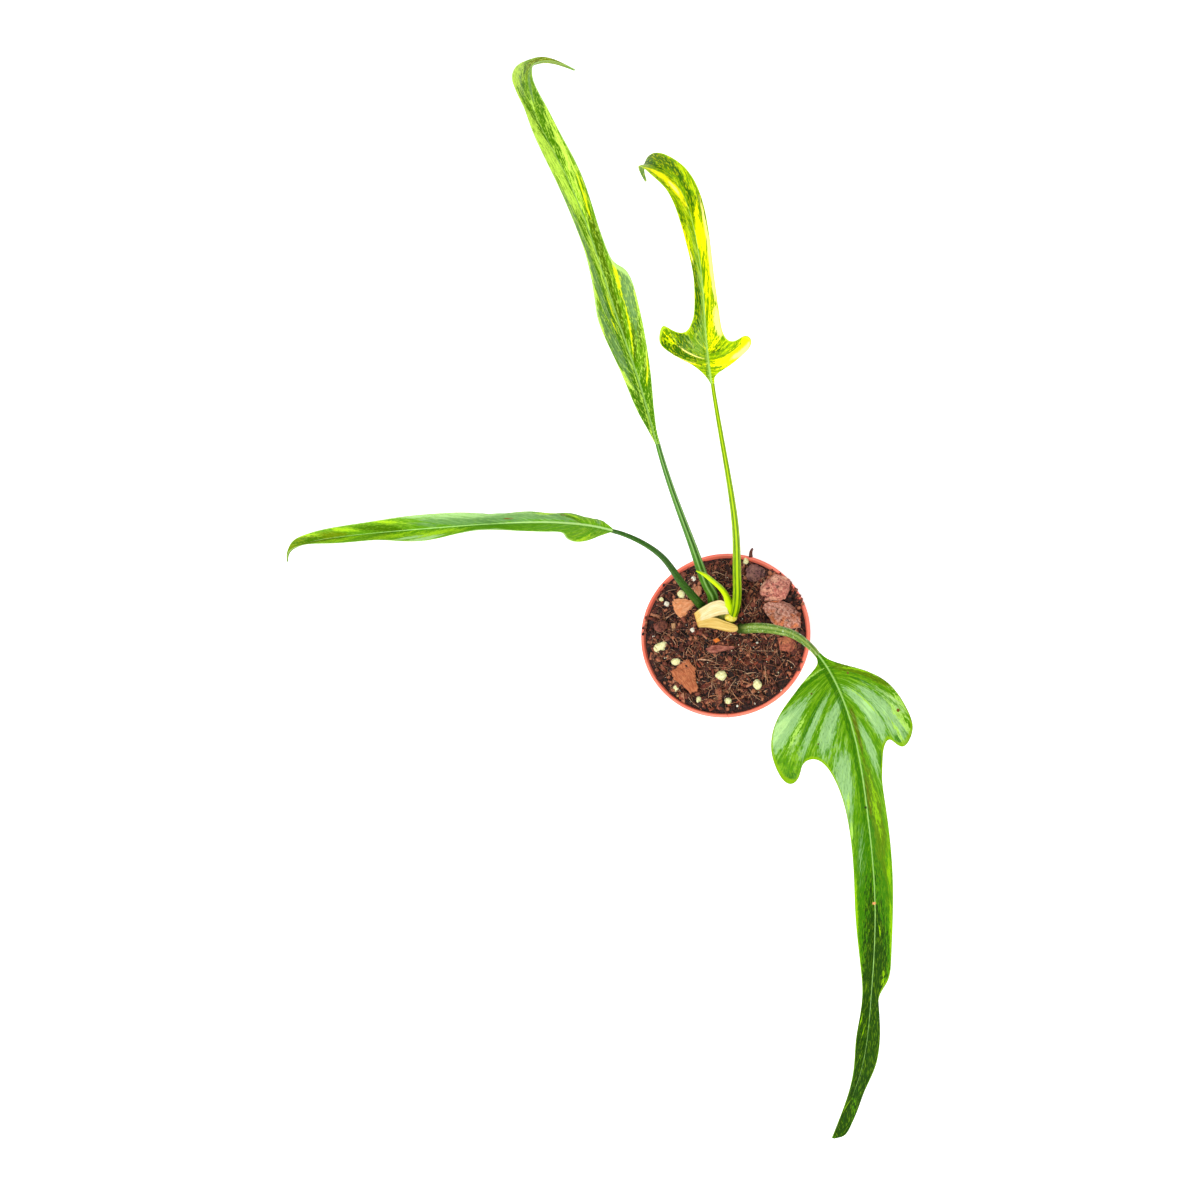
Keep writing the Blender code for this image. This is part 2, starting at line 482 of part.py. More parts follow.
def flat_to_space(path, leaf, start, along, across, side):
    """Place of a flat point of one half, after the fold, the down-curl and the axis's own bends."""
    length = path.total - start
    share = np.clip(along / length, 0, 1)
    facing = np.array(leaf["facing"])
    folds = np.array(leaf["fold"])
    at = start + along
    centre = path.read(path.points, at)
    tangent = unit(path.read(path.tangents, at))
    up = spline(facing[:, 0], facing[:, 1:], share)
    up = unit(up - (up * tangent).sum(-1, keepdims=True) * tangent)
    left = np.cross(up, tangent)
    bends = np.radians(eased(folds[:, 0], folds[:, 1:], share))
    rise = bends[..., 0] if side > 0 else bends[..., 1]
    curl = (bends[..., 2] if side > 0 else bends[..., 3]) / 10
    curl = np.where(np.abs(curl) < 0.0001, 0.0001, curl)
    out = (np.sin(rise) - np.sin(rise - curl * across)) / curl
    lift = (np.cos(rise - curl * across) - np.cos(rise)) / curl
    return centre + left * (side * out)[..., None] + up * lift[..., None]


def blade_grid(path, leaf, rows, half_columns):
    """Middle points of a blade, from its right margin over the midrib to its left margin.

    Every row follows a pair of side veins. Each is a straight line at the stalk, and bows
    towards the tip where it runs into a basal lobe.
    """
    veins = np.array(leaf["veins"], float)
    count = len(veins)
    table = spline(np.arange(count), veins, np.linspace(0, count - 1, rows))
    start = path.knots[leaf["joint"]] + GAP / 2
    share = np.linspace(0, 1, half_columns + 1)[None, :]
    root = table[:, :1]
    reach = root / leaf["hook"]
    bow = 0.6 * np.exp(-((reach - 1) / 0.6) ** 2) + 0.4 * np.clip(reach, 0, 1)
    hold_along = 0.5 - 0.4 * bow
    hold_across = 0.5 + 0.25 * bow
    halves = []
    for side, first in ((-1, 3), (1, 1)):
        end_along, end_across = table[:, first:first + 1], table[:, first + 1:first + 2]
        along = root + (end_along - root) * (2 * hold_along * share * (1 - share) + share ** 2)
        across = end_across * (2 * hold_across * share * (1 - share) + share ** 2)
        halves.append(flat_to_space(path, leaf, start, along, across, side))
    return np.concatenate([halves[0][:, ::-1], halves[1][:, 1:]], axis=1), table


def make_blade(name, leaf):
    path = Path(leaf["axis"])
    middle, table = blade_grid(path, leaf, BLADE_ROWS, HALF_COLUMNS)
    share = np.abs(np.linspace(-1, 1, 2 * HALF_COLUMNS + 1))[None, :]
    from_rib = share * (table[:, 4:5] + table[:, 2:3]) / 2
    fade = 1 - table[:, :1] / table[-1, 0]
    thickness = BLADE_THICKNESS + RIB_HEIGHT * fade * np.exp(-(from_rib / RIB_WIDTH) ** 2)
    return make_object("blade_" + name, *closed_sheet(middle, thickness), "leaf_" + name)


def make_stalk(name, leaf):
    """Leaf stalk from the stem's side to just short of its blade."""
    path = Path(leaf["axis"])
    end = path.knots[leaf["joint"]] - GAP
    points, faces = tube(path, 0, end, leaf["stalk"], 18)
    stalk = make_object("petiole_" + name, points, faces, STALK_FINISH[name])
    apply_boolean(stalk, [stem_cutter()], "DIFFERENCE")
    return stalk


def make_shoot():
    path = Path(SHOOT_AXIS)
    shoot = make_object("shoot", *tube(path, 0, path.total, SHOOT_RADII, 12), "stalk_lime")
    apply_boolean(shoot, [stem_cutter()], "DIFFERENCE")
    return shoot


def make_sheath():
    lines = np.array(SHEATH_LINES, float)
    fine = spline(np.arange(lines.shape[1]), lines.transpose(1, 0, 2).reshape(lines.shape[1], -1),
                  np.linspace(0, lines.shape[1] - 1, 9)).reshape(9, len(lines), 3)
    middle = spline(np.arange(len(lines)), fine.transpose(1, 0, 2).reshape(len(lines), -1),
                    np.linspace(0, len(lines) - 1, 9)).reshape(9, 9, 3)
    return make_object("sheath", *closed_sheet(middle, SHEATH_THICKNESS), "sheath_paper")


def lump_points(half, turn, seed, grow):
    """Rough ball of 80 faces with three half sizes, grown outwards by a distance."""
    ball = bmesh.new()
    bmesh.ops.create_icosphere(ball, subdivisions=2 if min(half) > 1.7 else 1, radius=1.0)
    points = []
    for corner in ball.verts:
        rough = 1 + 0.16 * noise.noise(corner.co * 1.7 + Vector((seed * 3.1, seed, 0)))
        local = Vector((corner.co.x * half[0], corner.co.y * half[1], corner.co.z * half[2])) * rough
        local += local.normalized() * grow
        points.append((local.x * math.cos(turn) - local.y * math.sin(turn),
                       local.x * math.sin(turn) + local.y * math.cos(turn), local.z))
    faces = [[corner.index for corner in face.verts] for face in ball.faces]
    ball.free()
    return np.array(points), faces


def make_lump(name, x, y, half, turn, seed, finish, grow=0.0):
    points, faces = lump_points(half, math.radians(turn), seed, grow)
    centre = (x, y, soil_height(x, y) + 0.25 * half[2])
    return make_object(name, points + centre, faces, finish)


def make_chip(name, x, y, half, tilt_x, tilt_y, outline, finish, grow=0.0):
    """Flat chip: its outline drawn up through its thickness, tilted a little."""
    outline = np.array(outline, float)
    reach = np.linalg.norm(outline, axis=1, keepdims=True)
    spread = outline * (1 + 1.6 * grow / reach)
    slope = np.tan(np.radians((tilt_x, tilt_y)))
    lean = spread[:, 1] * slope[0] + spread[:, 0] * slope[1]
    under = np.column_stack([spread * 0.94, lean - half - grow])
    upper = np.column_stack([spread, lean + half + grow])
    centre = (x, y, soil_height(x, y) + 0.5 * half)
    count = len(outline)
    faces = [tuple(range(count, 2 * count)), tuple(reversed(range(count)))]
    faces += [(k, (k + 1) % count, count + (k + 1) % count, count + k) for k in range(count)]
    return make_object(name, np.concatenate([under, upper]) + centre, faces, finish)


def make_loose_pieces():
    """Stones, chips and grains, and a slightly larger copy of each to cut its seat."""
    seats = []
    for seed, (name, x, y, half_x, half_y, half_z, turn, finish) in enumerate(LUMPS):
        half = (half_x, half_y, half_z)
        make_lump(name, x, y, half, turn, seed, finish)
        seats.append(make_lump(name + "_seat", x, y, half, turn, seed, None, SEAT_GAP))
    for name, x, y, half, tilt_x, tilt_y, finish, outline in CHIPS:
        make_chip(name, x, y, half, tilt_x, tilt_y, outline, finish)
        seats.append(make_chip(name + "_seat", x, y, half, tilt_x, tilt_y, outline, None, SEAT_GAP))
    return seats


def main():
    clear_scene()
    make_pot()
    soil = make_soil()
    make_stem()
    for name, leaf in LEAVES.items():
        make_stalk(name, leaf)
        make_blade(name, leaf)
    make_shoot()
    make_sheath()
    seats = make_loose_pieces()
    apply_boolean(soil, seats + [stem_cutter()], "DIFFERENCE")


main()
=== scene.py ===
# %% [markdown]
# # A potted philodendron
#
# This script dresses the finished solid model of a young climbing philodendron in a round
# nursery pot. The solids fix every size and place. Here each of them gets its fine surface,
# its veins and its colours.
#
# All shapes are worked out in millimetres with numpy. They become metres in one place only,
# where a mesh is made. +Z is up, +X points right and +Y points away from the viewer.

# %% Load the solid model
import json
import math
from itertools import combinations, product

import bpy
import numpy as np
from mathutils import Matrix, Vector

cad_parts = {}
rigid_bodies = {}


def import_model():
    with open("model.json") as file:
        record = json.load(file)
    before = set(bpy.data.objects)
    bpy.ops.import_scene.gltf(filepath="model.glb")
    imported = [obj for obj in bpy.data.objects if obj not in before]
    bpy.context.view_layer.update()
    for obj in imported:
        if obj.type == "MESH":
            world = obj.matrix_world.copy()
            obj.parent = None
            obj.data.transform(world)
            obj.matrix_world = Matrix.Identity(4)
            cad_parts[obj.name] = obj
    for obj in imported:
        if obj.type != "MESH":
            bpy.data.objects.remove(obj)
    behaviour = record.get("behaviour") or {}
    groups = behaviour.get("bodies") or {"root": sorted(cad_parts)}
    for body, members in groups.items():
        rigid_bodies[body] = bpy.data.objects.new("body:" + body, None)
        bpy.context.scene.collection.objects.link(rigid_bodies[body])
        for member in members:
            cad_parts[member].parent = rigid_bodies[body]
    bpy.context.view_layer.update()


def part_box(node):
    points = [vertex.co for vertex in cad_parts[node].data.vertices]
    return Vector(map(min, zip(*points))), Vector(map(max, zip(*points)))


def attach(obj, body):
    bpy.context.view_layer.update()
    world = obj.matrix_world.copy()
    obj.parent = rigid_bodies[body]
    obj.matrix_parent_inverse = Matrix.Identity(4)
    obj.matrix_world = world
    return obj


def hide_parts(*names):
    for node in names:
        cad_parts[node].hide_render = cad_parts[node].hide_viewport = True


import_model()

# %% [markdown]
# ## Camera
#
# The plant was photographed from high above its pot, from a little in front and to the right.
# A camera looks along its own -Z axis, so the direction to the target is turned into a
# rotation. The lens is worked out from the picture's sharpest measure, the round rim of the
# pot, whose ellipse gives both the height and the focal length.

# %% Camera
MM = 0.001
CAMERA_PLACE = (59.2, -151.1, 630.0)
CAMERA_TARGET = (-67.4, 23.0, 70.0)
SENSOR = 36.0             # width of the picture inside the camera, in millimetres
LENS = 32.8


def unit(vectors):
    """Vectors divided by their own lengths."""
    vectors = np.asarray(vectors, float)
    return vectors / np.linalg.norm(vectors, axis=-1, keepdims=True)


def aimed(place, target, upward=(0, 1, 0)):
    """Matrix that stands at a place, looks at a target and keeps a direction upward in view."""
    back = unit(np.subtract(place, target))
    right = unit(np.cross(upward, back))
    matrix = np.eye(4)
    matrix[:3, :3] = np.column_stack([right, np.cross(back, right), back])
    matrix[:3, 3] = np.multiply(place, MM)
    return Matrix(matrix.tolist())


def make_camera():
    camera = bpy.data.objects.new("camera", bpy.data.cameras.new("camera"))
    camera.data.sensor_width = SENSOR
    camera.data.lens = LENS
    camera.matrix_world = aimed(CAMERA_PLACE, CAMERA_TARGET)
    bpy.context.scene.collection.objects.link(camera)
    bpy.context.scene.camera = camera
    return camera


print("camera with a lens of", make_camera().data.lens, "mm")

# %% [markdown]
# ## Numbers in space
#
# Most pieces here are soft surfaces that follow a curve. Three tools are enough for them: a
# cubic curve through a few chosen values, a path that is read by its length, and a soft random
# field that makes rough things rough. Each works on whole arrays at once.


# %% Curves and paths
def spline(knots, values, places):
    """Natural cubic curve through values at knots, read at places.

    Second derivatives solve a system with three diagonals. Between two knots the value is a
    cubic mix of the two ends and their second derivatives.
    """
    knots = np.asarray(knots, float)
    values = np.asarray(values, float)
    last = len(knots) - 1
    step = np.diff(knots)
    slope = np.diff(values, axis=0) / step[:, None]
    inner = np.arange(1, last)
    system = np.eye(last + 1)
    system[inner, inner - 1] = step[:-1]
    system[inner, inner] = 2 * (step[:-1] + step[1:])
    system[inner, inner + 1] = step[1:]
    change = np.zeros_like(values)
    change[1:-1] = 6 * np.diff(slope, axis=0)
    bend = np.linalg.solve(system, change)
    places = np.asarray(places, float)
    low = np.clip(np.searchsorted(knots, places, side="right") - 1, 0, last - 1)
    width = step[low][..., None]
    after = (places - knots[low])[..., None]
    before = width - after
    cubic = (bend[low] * before ** 3 + bend[low + 1] * after ** 3) / (6 * width)
    start = (values[low] / width - bend[low] * width / 6) * before
    end = (values[low + 1] / width - bend[low + 1] * width / 6) * after
    return cubic + start + end


def ease(share):
    """From 0 to 1 with flat ends: 3 s squared minus 2 s cubed."""
    return share * share * (3 - 2 * share)


def eased(knots, values, places):
    """Values at places, with each step between two knots eased."""
    knots = np.asarray(knots, float)
    values = np.asarray(values, float)
    low = np.clip(np.searchsorted(knots, places, side="right") - 1, 0, len(knots) - 2)
    share = ease(np.clip((places - knots[low]) / (knots[low + 1] - knots[low]), 0, 1))
    return values[low] + (values[low + 1] - values[low]) * share[..., None]


def bowed(start, handle, end, t):
    """Quadratic curve: (1 - t) squared of the start, 2 t (1 - t) of the handle, t squared of the end."""
    return (1 - t) ** 2 * start + 2 * t * (1 - t) * handle + t ** 2 * end


def walked(points):
    """How far each point lies along a line of points: the sum of the steps up to it."""
    return np.concatenate([[0], np.cumsum(np.linalg.norm(np.diff(points, axis=0), axis=1))])


class Path:
    """Smooth curve through points, read by its length."""

    def __init__(self, points, samples=800):
        points = np.asarray(points, float)
        chord = walked(points)
        even = np.linspace(0, chord[-1], samples)
        self.points = spline(chord, points, even)
        self.lengths = walked(self.points)
        self.knots = np.interp(chord, even, self.lengths)
        self.total = self.lengths[-1]
        self.tangents = unit(np.gradient(self.points, self.lengths, axis=0))

    def read(self, table, at):
        return np.stack([np.interp(at, self.lengths, table[:, k]) for k in range(3)], axis=-1)

    def place(self, at):
        return self.read(self.points, at)

    def ahead(self, at):
        return unit(self.read(self.tangents, at))


def upright(upward, ahead):
    """Direction nearest to an upward one that is square to the way ahead: its part along is taken off."""
    return unit(upward - (upward * ahead).sum(-1, keepdims=True) * ahead)


def full_turn(sides):
    """Angles of evenly spaced points round a ring."""
    return np.linspace(0, 2 * math.pi, sides, endpoint=False)


print("a bow from 0 to 10 with its handle at 8 is at", bowed(0, 8, 10, 0.5), "half way")

# %% [markdown]
# ### A soft random field
#
# Nothing on a plant or in its soil is quite even. Noise in a material could suggest that, but
# stones and crumbs show their dents in their outlines, so the points themselves have to move.
# Random numbers stand on a lattice, and a point between them reads a soft mix of its
# neighbours. The numbers are seeded, so that every run gives the same plant.

# %% Soft random field
LATTICE = 24


def rough(points, size, seed):
    """Soft random field from -1 to 1.

    Seeded random numbers stand on a cubic lattice of the given size, and a point takes the mean
    of the eight round it, weighted by an eased share along each axis.
    """
    lattice = np.random.default_rng(seed).random((LATTICE, LATTICE, LATTICE))
    place = np.asarray(points, float) / size
    cell = np.floor(place).astype(int)
    share = ease(place - cell)
    total = np.zeros(place.shape[:-1])
    for corner in product((0, 1), repeat=3):
        weight = np.where(np.array(corner, bool), share, 1 - share).prod(axis=-1)
        x, y, z = np.moveaxis((cell + corner) % LATTICE, -1, 0)
        total += weight * lattice[x, y, z]
    return 2 * total - 1


field = rough(np.random.default_rng(0).random((1000, 3)) * 50, 4, 1)
print("random field from", field.min().round(2), "to", field.max().round(2))

# %% [markdown]
# ## From grids to meshes
#
# A surface is a grid of points, and its faces only say which neighbours belong together. Two
# kinds of grid cover the whole plant: rings that close round, for stalks, stones and the pot,
# and a sheet with two faces and a thin edge, for leaves and the dry sheath. Every mesh comes
# out closed, with its faces pointing outwards, because a real leaf has two sides as well.


# %% Grids
def grid_faces(rows, columns, closes=False):
    """Four-sided faces between neighbours of a grid whose rows may close round."""
    index = np.arange(rows * columns).reshape(rows, columns)
    if closes:
        index = np.concatenate([index, index[:, :1]], axis=1)
    corners = (index[:-1, :-1], index[:-1, 1:], index[1:, 1:], index[1:, :-1])
    return np.stack([corner.ravel() for corner in corners], axis=1)


def closed_rings(points):
    """Points and faces of closed rings, with one middle point at each end."""
    rings, sides = points.shape[:2]
    middles = np.stack([points[0].mean(axis=0), points[-1].mean(axis=0)])
    first = np.arange(sides)
    after = np.roll(first, -1)
    last = (rings - 1) * sides
    low = np.stack([np.full(sides, rings * sides), after, first], axis=1)
    high = np.stack([np.full(sides, rings * sides + 1), last + first, last + after], axis=1)
    points = np.concatenate([points.reshape(-1, 3), middles])
    return points, (grid_faces(rings, sides, True), low, high)


def closed_sheet(upper, under):
    """Points and faces of a sheet between two grids, joined along their margins."""
    rows, columns = upper.shape[:2]
    count = rows * columns
    index = np.arange(count).reshape(rows, columns)
    edge = np.concatenate([index[0], index[1:, -1], index[-1, -2::-1], index[-2:0:-1, 0]])
    after = np.roll(edge, -1)
    low = grid_faces(rows, columns) + count
    rim = np.stack([edge, after, after + count, edge + count], axis=1)
    points = np.concatenate([upper.reshape(-1, 3), under.reshape(-1, 3)])
    return points, (low[:, ::-1] - count, low, rim)


def joined(parts):
    """One set of points and faces from several."""
    starts = np.cumsum([0] + [len(points) for points, _ in parts])
    points = np.concatenate([points for points, _ in parts])
    return points, [faces + start for start, (_, sets) in zip(starts, parts) for faces in sets]


def sheet_normals(middle):
    """Upward direction at each point of a sheet: the way to the next row, crossed with the way along."""
    return unit(np.cross(np.gradient(middle, axis=0), np.gradient(middle, axis=1)))


def ball_grid(rings, sides):
    """Unit ball between its poles: cosine and sine of latitude and longitude."""
    latitude = np.linspace(-math.pi / 2, math.pi / 2, rings + 2)[1:-1, None]
    longitude = full_turn(sides)
    across = np.cos(latitude)
    parts = (across * np.cos(longitude), across * np.sin(longitude), np.sin(latitude))
    return np.stack(np.broadcast_arrays(*parts), axis=-1)


ball_faces = closed_rings(ball_grid(6, 8))[1]
print("a ball of 6 rings and 8 sides has", sum(map(len, ball_faces)), "faces")


# %% Mesh objects
def make_mesh(name, points, face_sets):
    """Mesh object at the origin, from points in millimetres and arrays of faces."""
    mesh = bpy.data.meshes.new(name)
    mesh.vertices.add(len(points))
    mesh.vertices.foreach_set("co", (points * MM).ravel())
    sizes = np.concatenate([np.full(len(faces), faces.shape[1]) for faces in face_sets])
    corners = np.concatenate([faces.ravel() for faces in face_sets]).astype(np.int32)
    mesh.loops.add(len(corners))
    mesh.loops.foreach_set("vertex_index", corners)
    mesh.polygons.add(len(sizes))
    mesh.polygons.foreach_set("loop_start", (np.cumsum(sizes) - sizes).astype(np.int32))
    mesh.update(calc_edges=True)
    mesh.validate()
    mesh.shade_smooth()
    piece = bpy.data.objects.new(name, mesh)
    bpy.context.scene.collection.objects.link(piece)
    return piece


def give(piece, name, values):
    """Give a mesh a named number, or a named vector, for each of its points."""
    values = np.asarray(values, float)
    kind, key = ("FLOAT_VECTOR", "vector") if values.ndim == 2 else ("FLOAT", "value")
    missing = len(piece.data.vertices) - len(values)
    values = np.concatenate([values, np.repeat(values[-1:], missing, axis=0)])
    piece.data.attributes.new(name, kind, "POINT").data.foreach_set(key, values.ravel())


def settle(piece, material, slot, *nodes):
    """Finish a piece: its material, its body and the solids that it stands for. Its slot is not used."""
    piece.data.materials.clear()
    piece.data.materials.append(material)
    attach(piece, "root")
    if nodes:
        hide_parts(*nodes)
    corners = [len(face.vertices) for face in piece.data.polygons]
    print(piece.name, "has", sum(corners) - 2 * len(corners), "triangles")


# %% [markdown]
# ## Shader maths as plain expressions
#
# A material is a graph of nodes, and a graph is hard to read as code. Here one small class
# wraps a socket, so that `mask * 2 + 1` adds the two Math nodes by itself. A second class holds
# a material and adds any other node: its type, then its settings, then what its sockets get.
# Colours never go through Math nodes, which would turn them grey. They are mixed.


# %% Colours
def paint(code):
    """Colour from six hex digits, as the screen shows it, in the shader's linear numbers."""
    shown = np.array([int(code[k:k + 2], 16) for k in (0, 2, 4)]) / 255
    linear = np.where(shown > 0.04045, ((shown + 0.055) / 1.055) ** 2.4, shown / 12.92)
    return (*linear.tolist(), 1.0)


print("leaf green in linear numbers:", [round(part, 3) for part in paint("3c8a00")])


# %% Sockets that can be added and multiplied
class Wire:
    """A node's output socket. Sums and products of wires add Math nodes."""

    def __init__(self, finish, socket):
        self.finish = finish
        self.socket = socket

    def math(self, operation, first, second):
        return self.finish.add("ShaderNodeMath", {"operation": operation}, {0: first, 1: second})

    def __add__(self, other):
        return self.math("ADD", self, other)

    def __sub__(self, other):
        return self.math("SUBTRACT", self, other)

    def __mul__(self, other):
        return self.math("MULTIPLY", self, other)

    def __rsub__(self, other):
        return self.math("SUBTRACT", other, self)

    def __abs__(self):
        return self.math("ABSOLUTE", self, 0.0)

    __radd__ = __add__
    __rmul__ = __mul__


# %% Materials
class Finish:
    """A material with one Principled shader, and what is needed to drive it."""

    def __init__(self, name, roughness=0.5):
        self.material = bpy.data.materials.new(name)
        self.material.use_nodes = True
        self.nodes = self.material.node_tree.nodes
        self.shader = self.nodes["Principled BSDF"]
        self.shader.inputs["Roughness"].default_value = roughness

    def put(self, socket, value):
        if isinstance(value, Wire):
            self.material.node_tree.links.new(value.socket, socket)
        else:
            socket.default_value = value

    def add(self, kind, settings, sockets, output=0):
        """Any node: settings are set first, then sockets get values or links."""
        node = self.nodes.new(kind)
        for key, value in settings.items():
            setattr(node, key, value)
        for key, value in sockets.items():
            self.put(node.inputs[key], value)
        return Wire(self, node.outputs[output])

    def set(self, **sockets):
        """Drive or fix sockets of the Principled shader, named in small letters with _ for spaces."""
        named = {socket.name.lower().replace(" ", "_"): socket for socket in self.shader.inputs}
        for key, value in sockets.items():
            self.put(named[key], value)
        return self

    def place(self, stretch=(1, 1, 1)):
        """The point's place in millimetres, stretched along each axis."""
        local = self.add("ShaderNodeTexCoord", {}, {}, "Object")
        return self.stretched(local, np.divide(stretch, MM))

    def stretched(self, vector, stretch):
        return self.add("ShaderNodeVectorMath", {"operation": "MULTIPLY"}, {0: vector, 1: tuple(stretch)})

    def value(self, name, output="Fac"):
        """A number, or with "Vector" a vector, that the mesh holds for each point."""
        return self.add("ShaderNodeAttribute", {"attribute_name": name}, {}, output)

    def noise(self, vector, size, detail=3.0):
        """Soft noise round 0, mostly between -0.3 and 0.3, with grains of a size in millimetres."""
        sockets = {"Vector": vector, "Scale": 1 / size, "Detail": detail}
        return self.add("ShaderNodeTexNoise", {}, sockets) - 0.5

    def cells(self, vector, size, feature="F1"):
        sockets = {"Vector": vector, "Scale": 1 / size}
        return self.add("ShaderNodeTexVoronoi", {"feature": feature}, sockets, "Distance")

    def step(self, value, low, high):
        """0 below low, 1 above high, and eased between."""
        sockets = {"Value": value, "From Min": low, "From Max": high}
        return self.add("ShaderNodeMapRange", {"interpolation_type": "SMOOTHSTEP"}, sockets)

    def mix(self, mask, base, over):
        """The colour base, covered by the colour over where the mask is 1. Hex digits are painted."""
        base, over = (paint(part) if isinstance(part, str) else part for part in (base, over))
        return self.add("ShaderNodeMix", {"data_type": "RGBA"}, {0: mask, 6: base, 7: over}, 2)

    def cover(self, base, over, value, low, high, strength=1):
        """The colour base, covered by the colour over as a value rises from low to high."""
        mask = self.step(value, low, high)
        return self.mix(mask if strength == 1 else mask * strength, base, over)

    def relief(self, height, depth):
        """Bend the normals by a height that counts depth millimetres."""
        sockets = {"Height": height, "Distance": depth * MM}
        return self.set(normal=self.add("ShaderNodeBump", {}, sockets))


# %% [markdown]
# ## Studio
#
# The plant stands on a white floor in even light. A bright sky lights every side, and one
# large soft lamp from the front gives the leaves their form and puts a thin shadow under the
# near lip of the pot. The colours are meant as the screen shows them, so the view transform
# is the plain one.

# %% Floor, sky and lamps
SKY_LIGHT = 0.58
FLOOR_GLOW = 0.5          # keeps the floor white round the pot
FLOOR_HALF = 4000         # half the floor's width
FLOOR_DROP = 0.1          # keeps the floor just under the pot
# Name, direction it stands in, strength, how wide it looks (degrees)
LAMPS = (
    ("lamp_front", (-500, -800, 1300), 2.5, 28),
    ("lamp_side", (900, 300, 1100), 0.4, 60),
)


def make_floor():
    finish = Finish("floor_white", 0.9).set(base_color=paint("f7f7f7"), specular_ior_level=0.0)
    finish.set(emission_color=paint("ffffff"), emission_strength=FLOOR_GLOW)
    square = np.array([(-1, -1), (1, -1), (1, 1), (-1, 1)]) * FLOOR_HALF
    corners = np.column_stack([square, np.full(4, -FLOOR_DROP)])
    floor = make_mesh("floor", corners, [np.array([(0, 1, 2, 3)])])
    floor.data.materials.append(finish.material)


def make_light():
    world = bpy.data.worlds.new("studio")
    world.use_nodes = True
    sky = world.node_tree.nodes["Background"].inputs
    sky["Color"].default_value = (1, 1, 1, 1)
    sky["Strength"].default_value = SKY_LIGHT
    bpy.context.scene.world = world
    for name, place, strength, width in LAMPS:
        lamp = bpy.data.objects.new(name, bpy.data.lights.new(name, "SUN"))
        lamp.data.energy = strength
        lamp.data.angle = math.radians(width)
        lamp.matrix_world = aimed(place, (0, 0, 100))
        bpy.context.scene.collection.objects.link(lamp)
        print(name, "gives", strength, "W per square metre")


make_floor()
make_light()
bpy.context.scene.view_settings.view_transform = "Standard"

# %% [markdown]
# ## Leaves
#
# A philodendron leaf is a thin blade that hangs on one strong midrib. Here the middle lobe is
# a long strap, and two short basal lobes hook back beside the stalk. It could be an outline
# that is filled and bent, but then nothing would know where the veins run. So the blade is a
# function of two numbers: which pair of side veins, and how far out along them. The veins
# leave the midrib, bow into the lobes and end at the margin, and the same two numbers later
# carry the streaks of colour, which grow along the veins in the real leaf too.

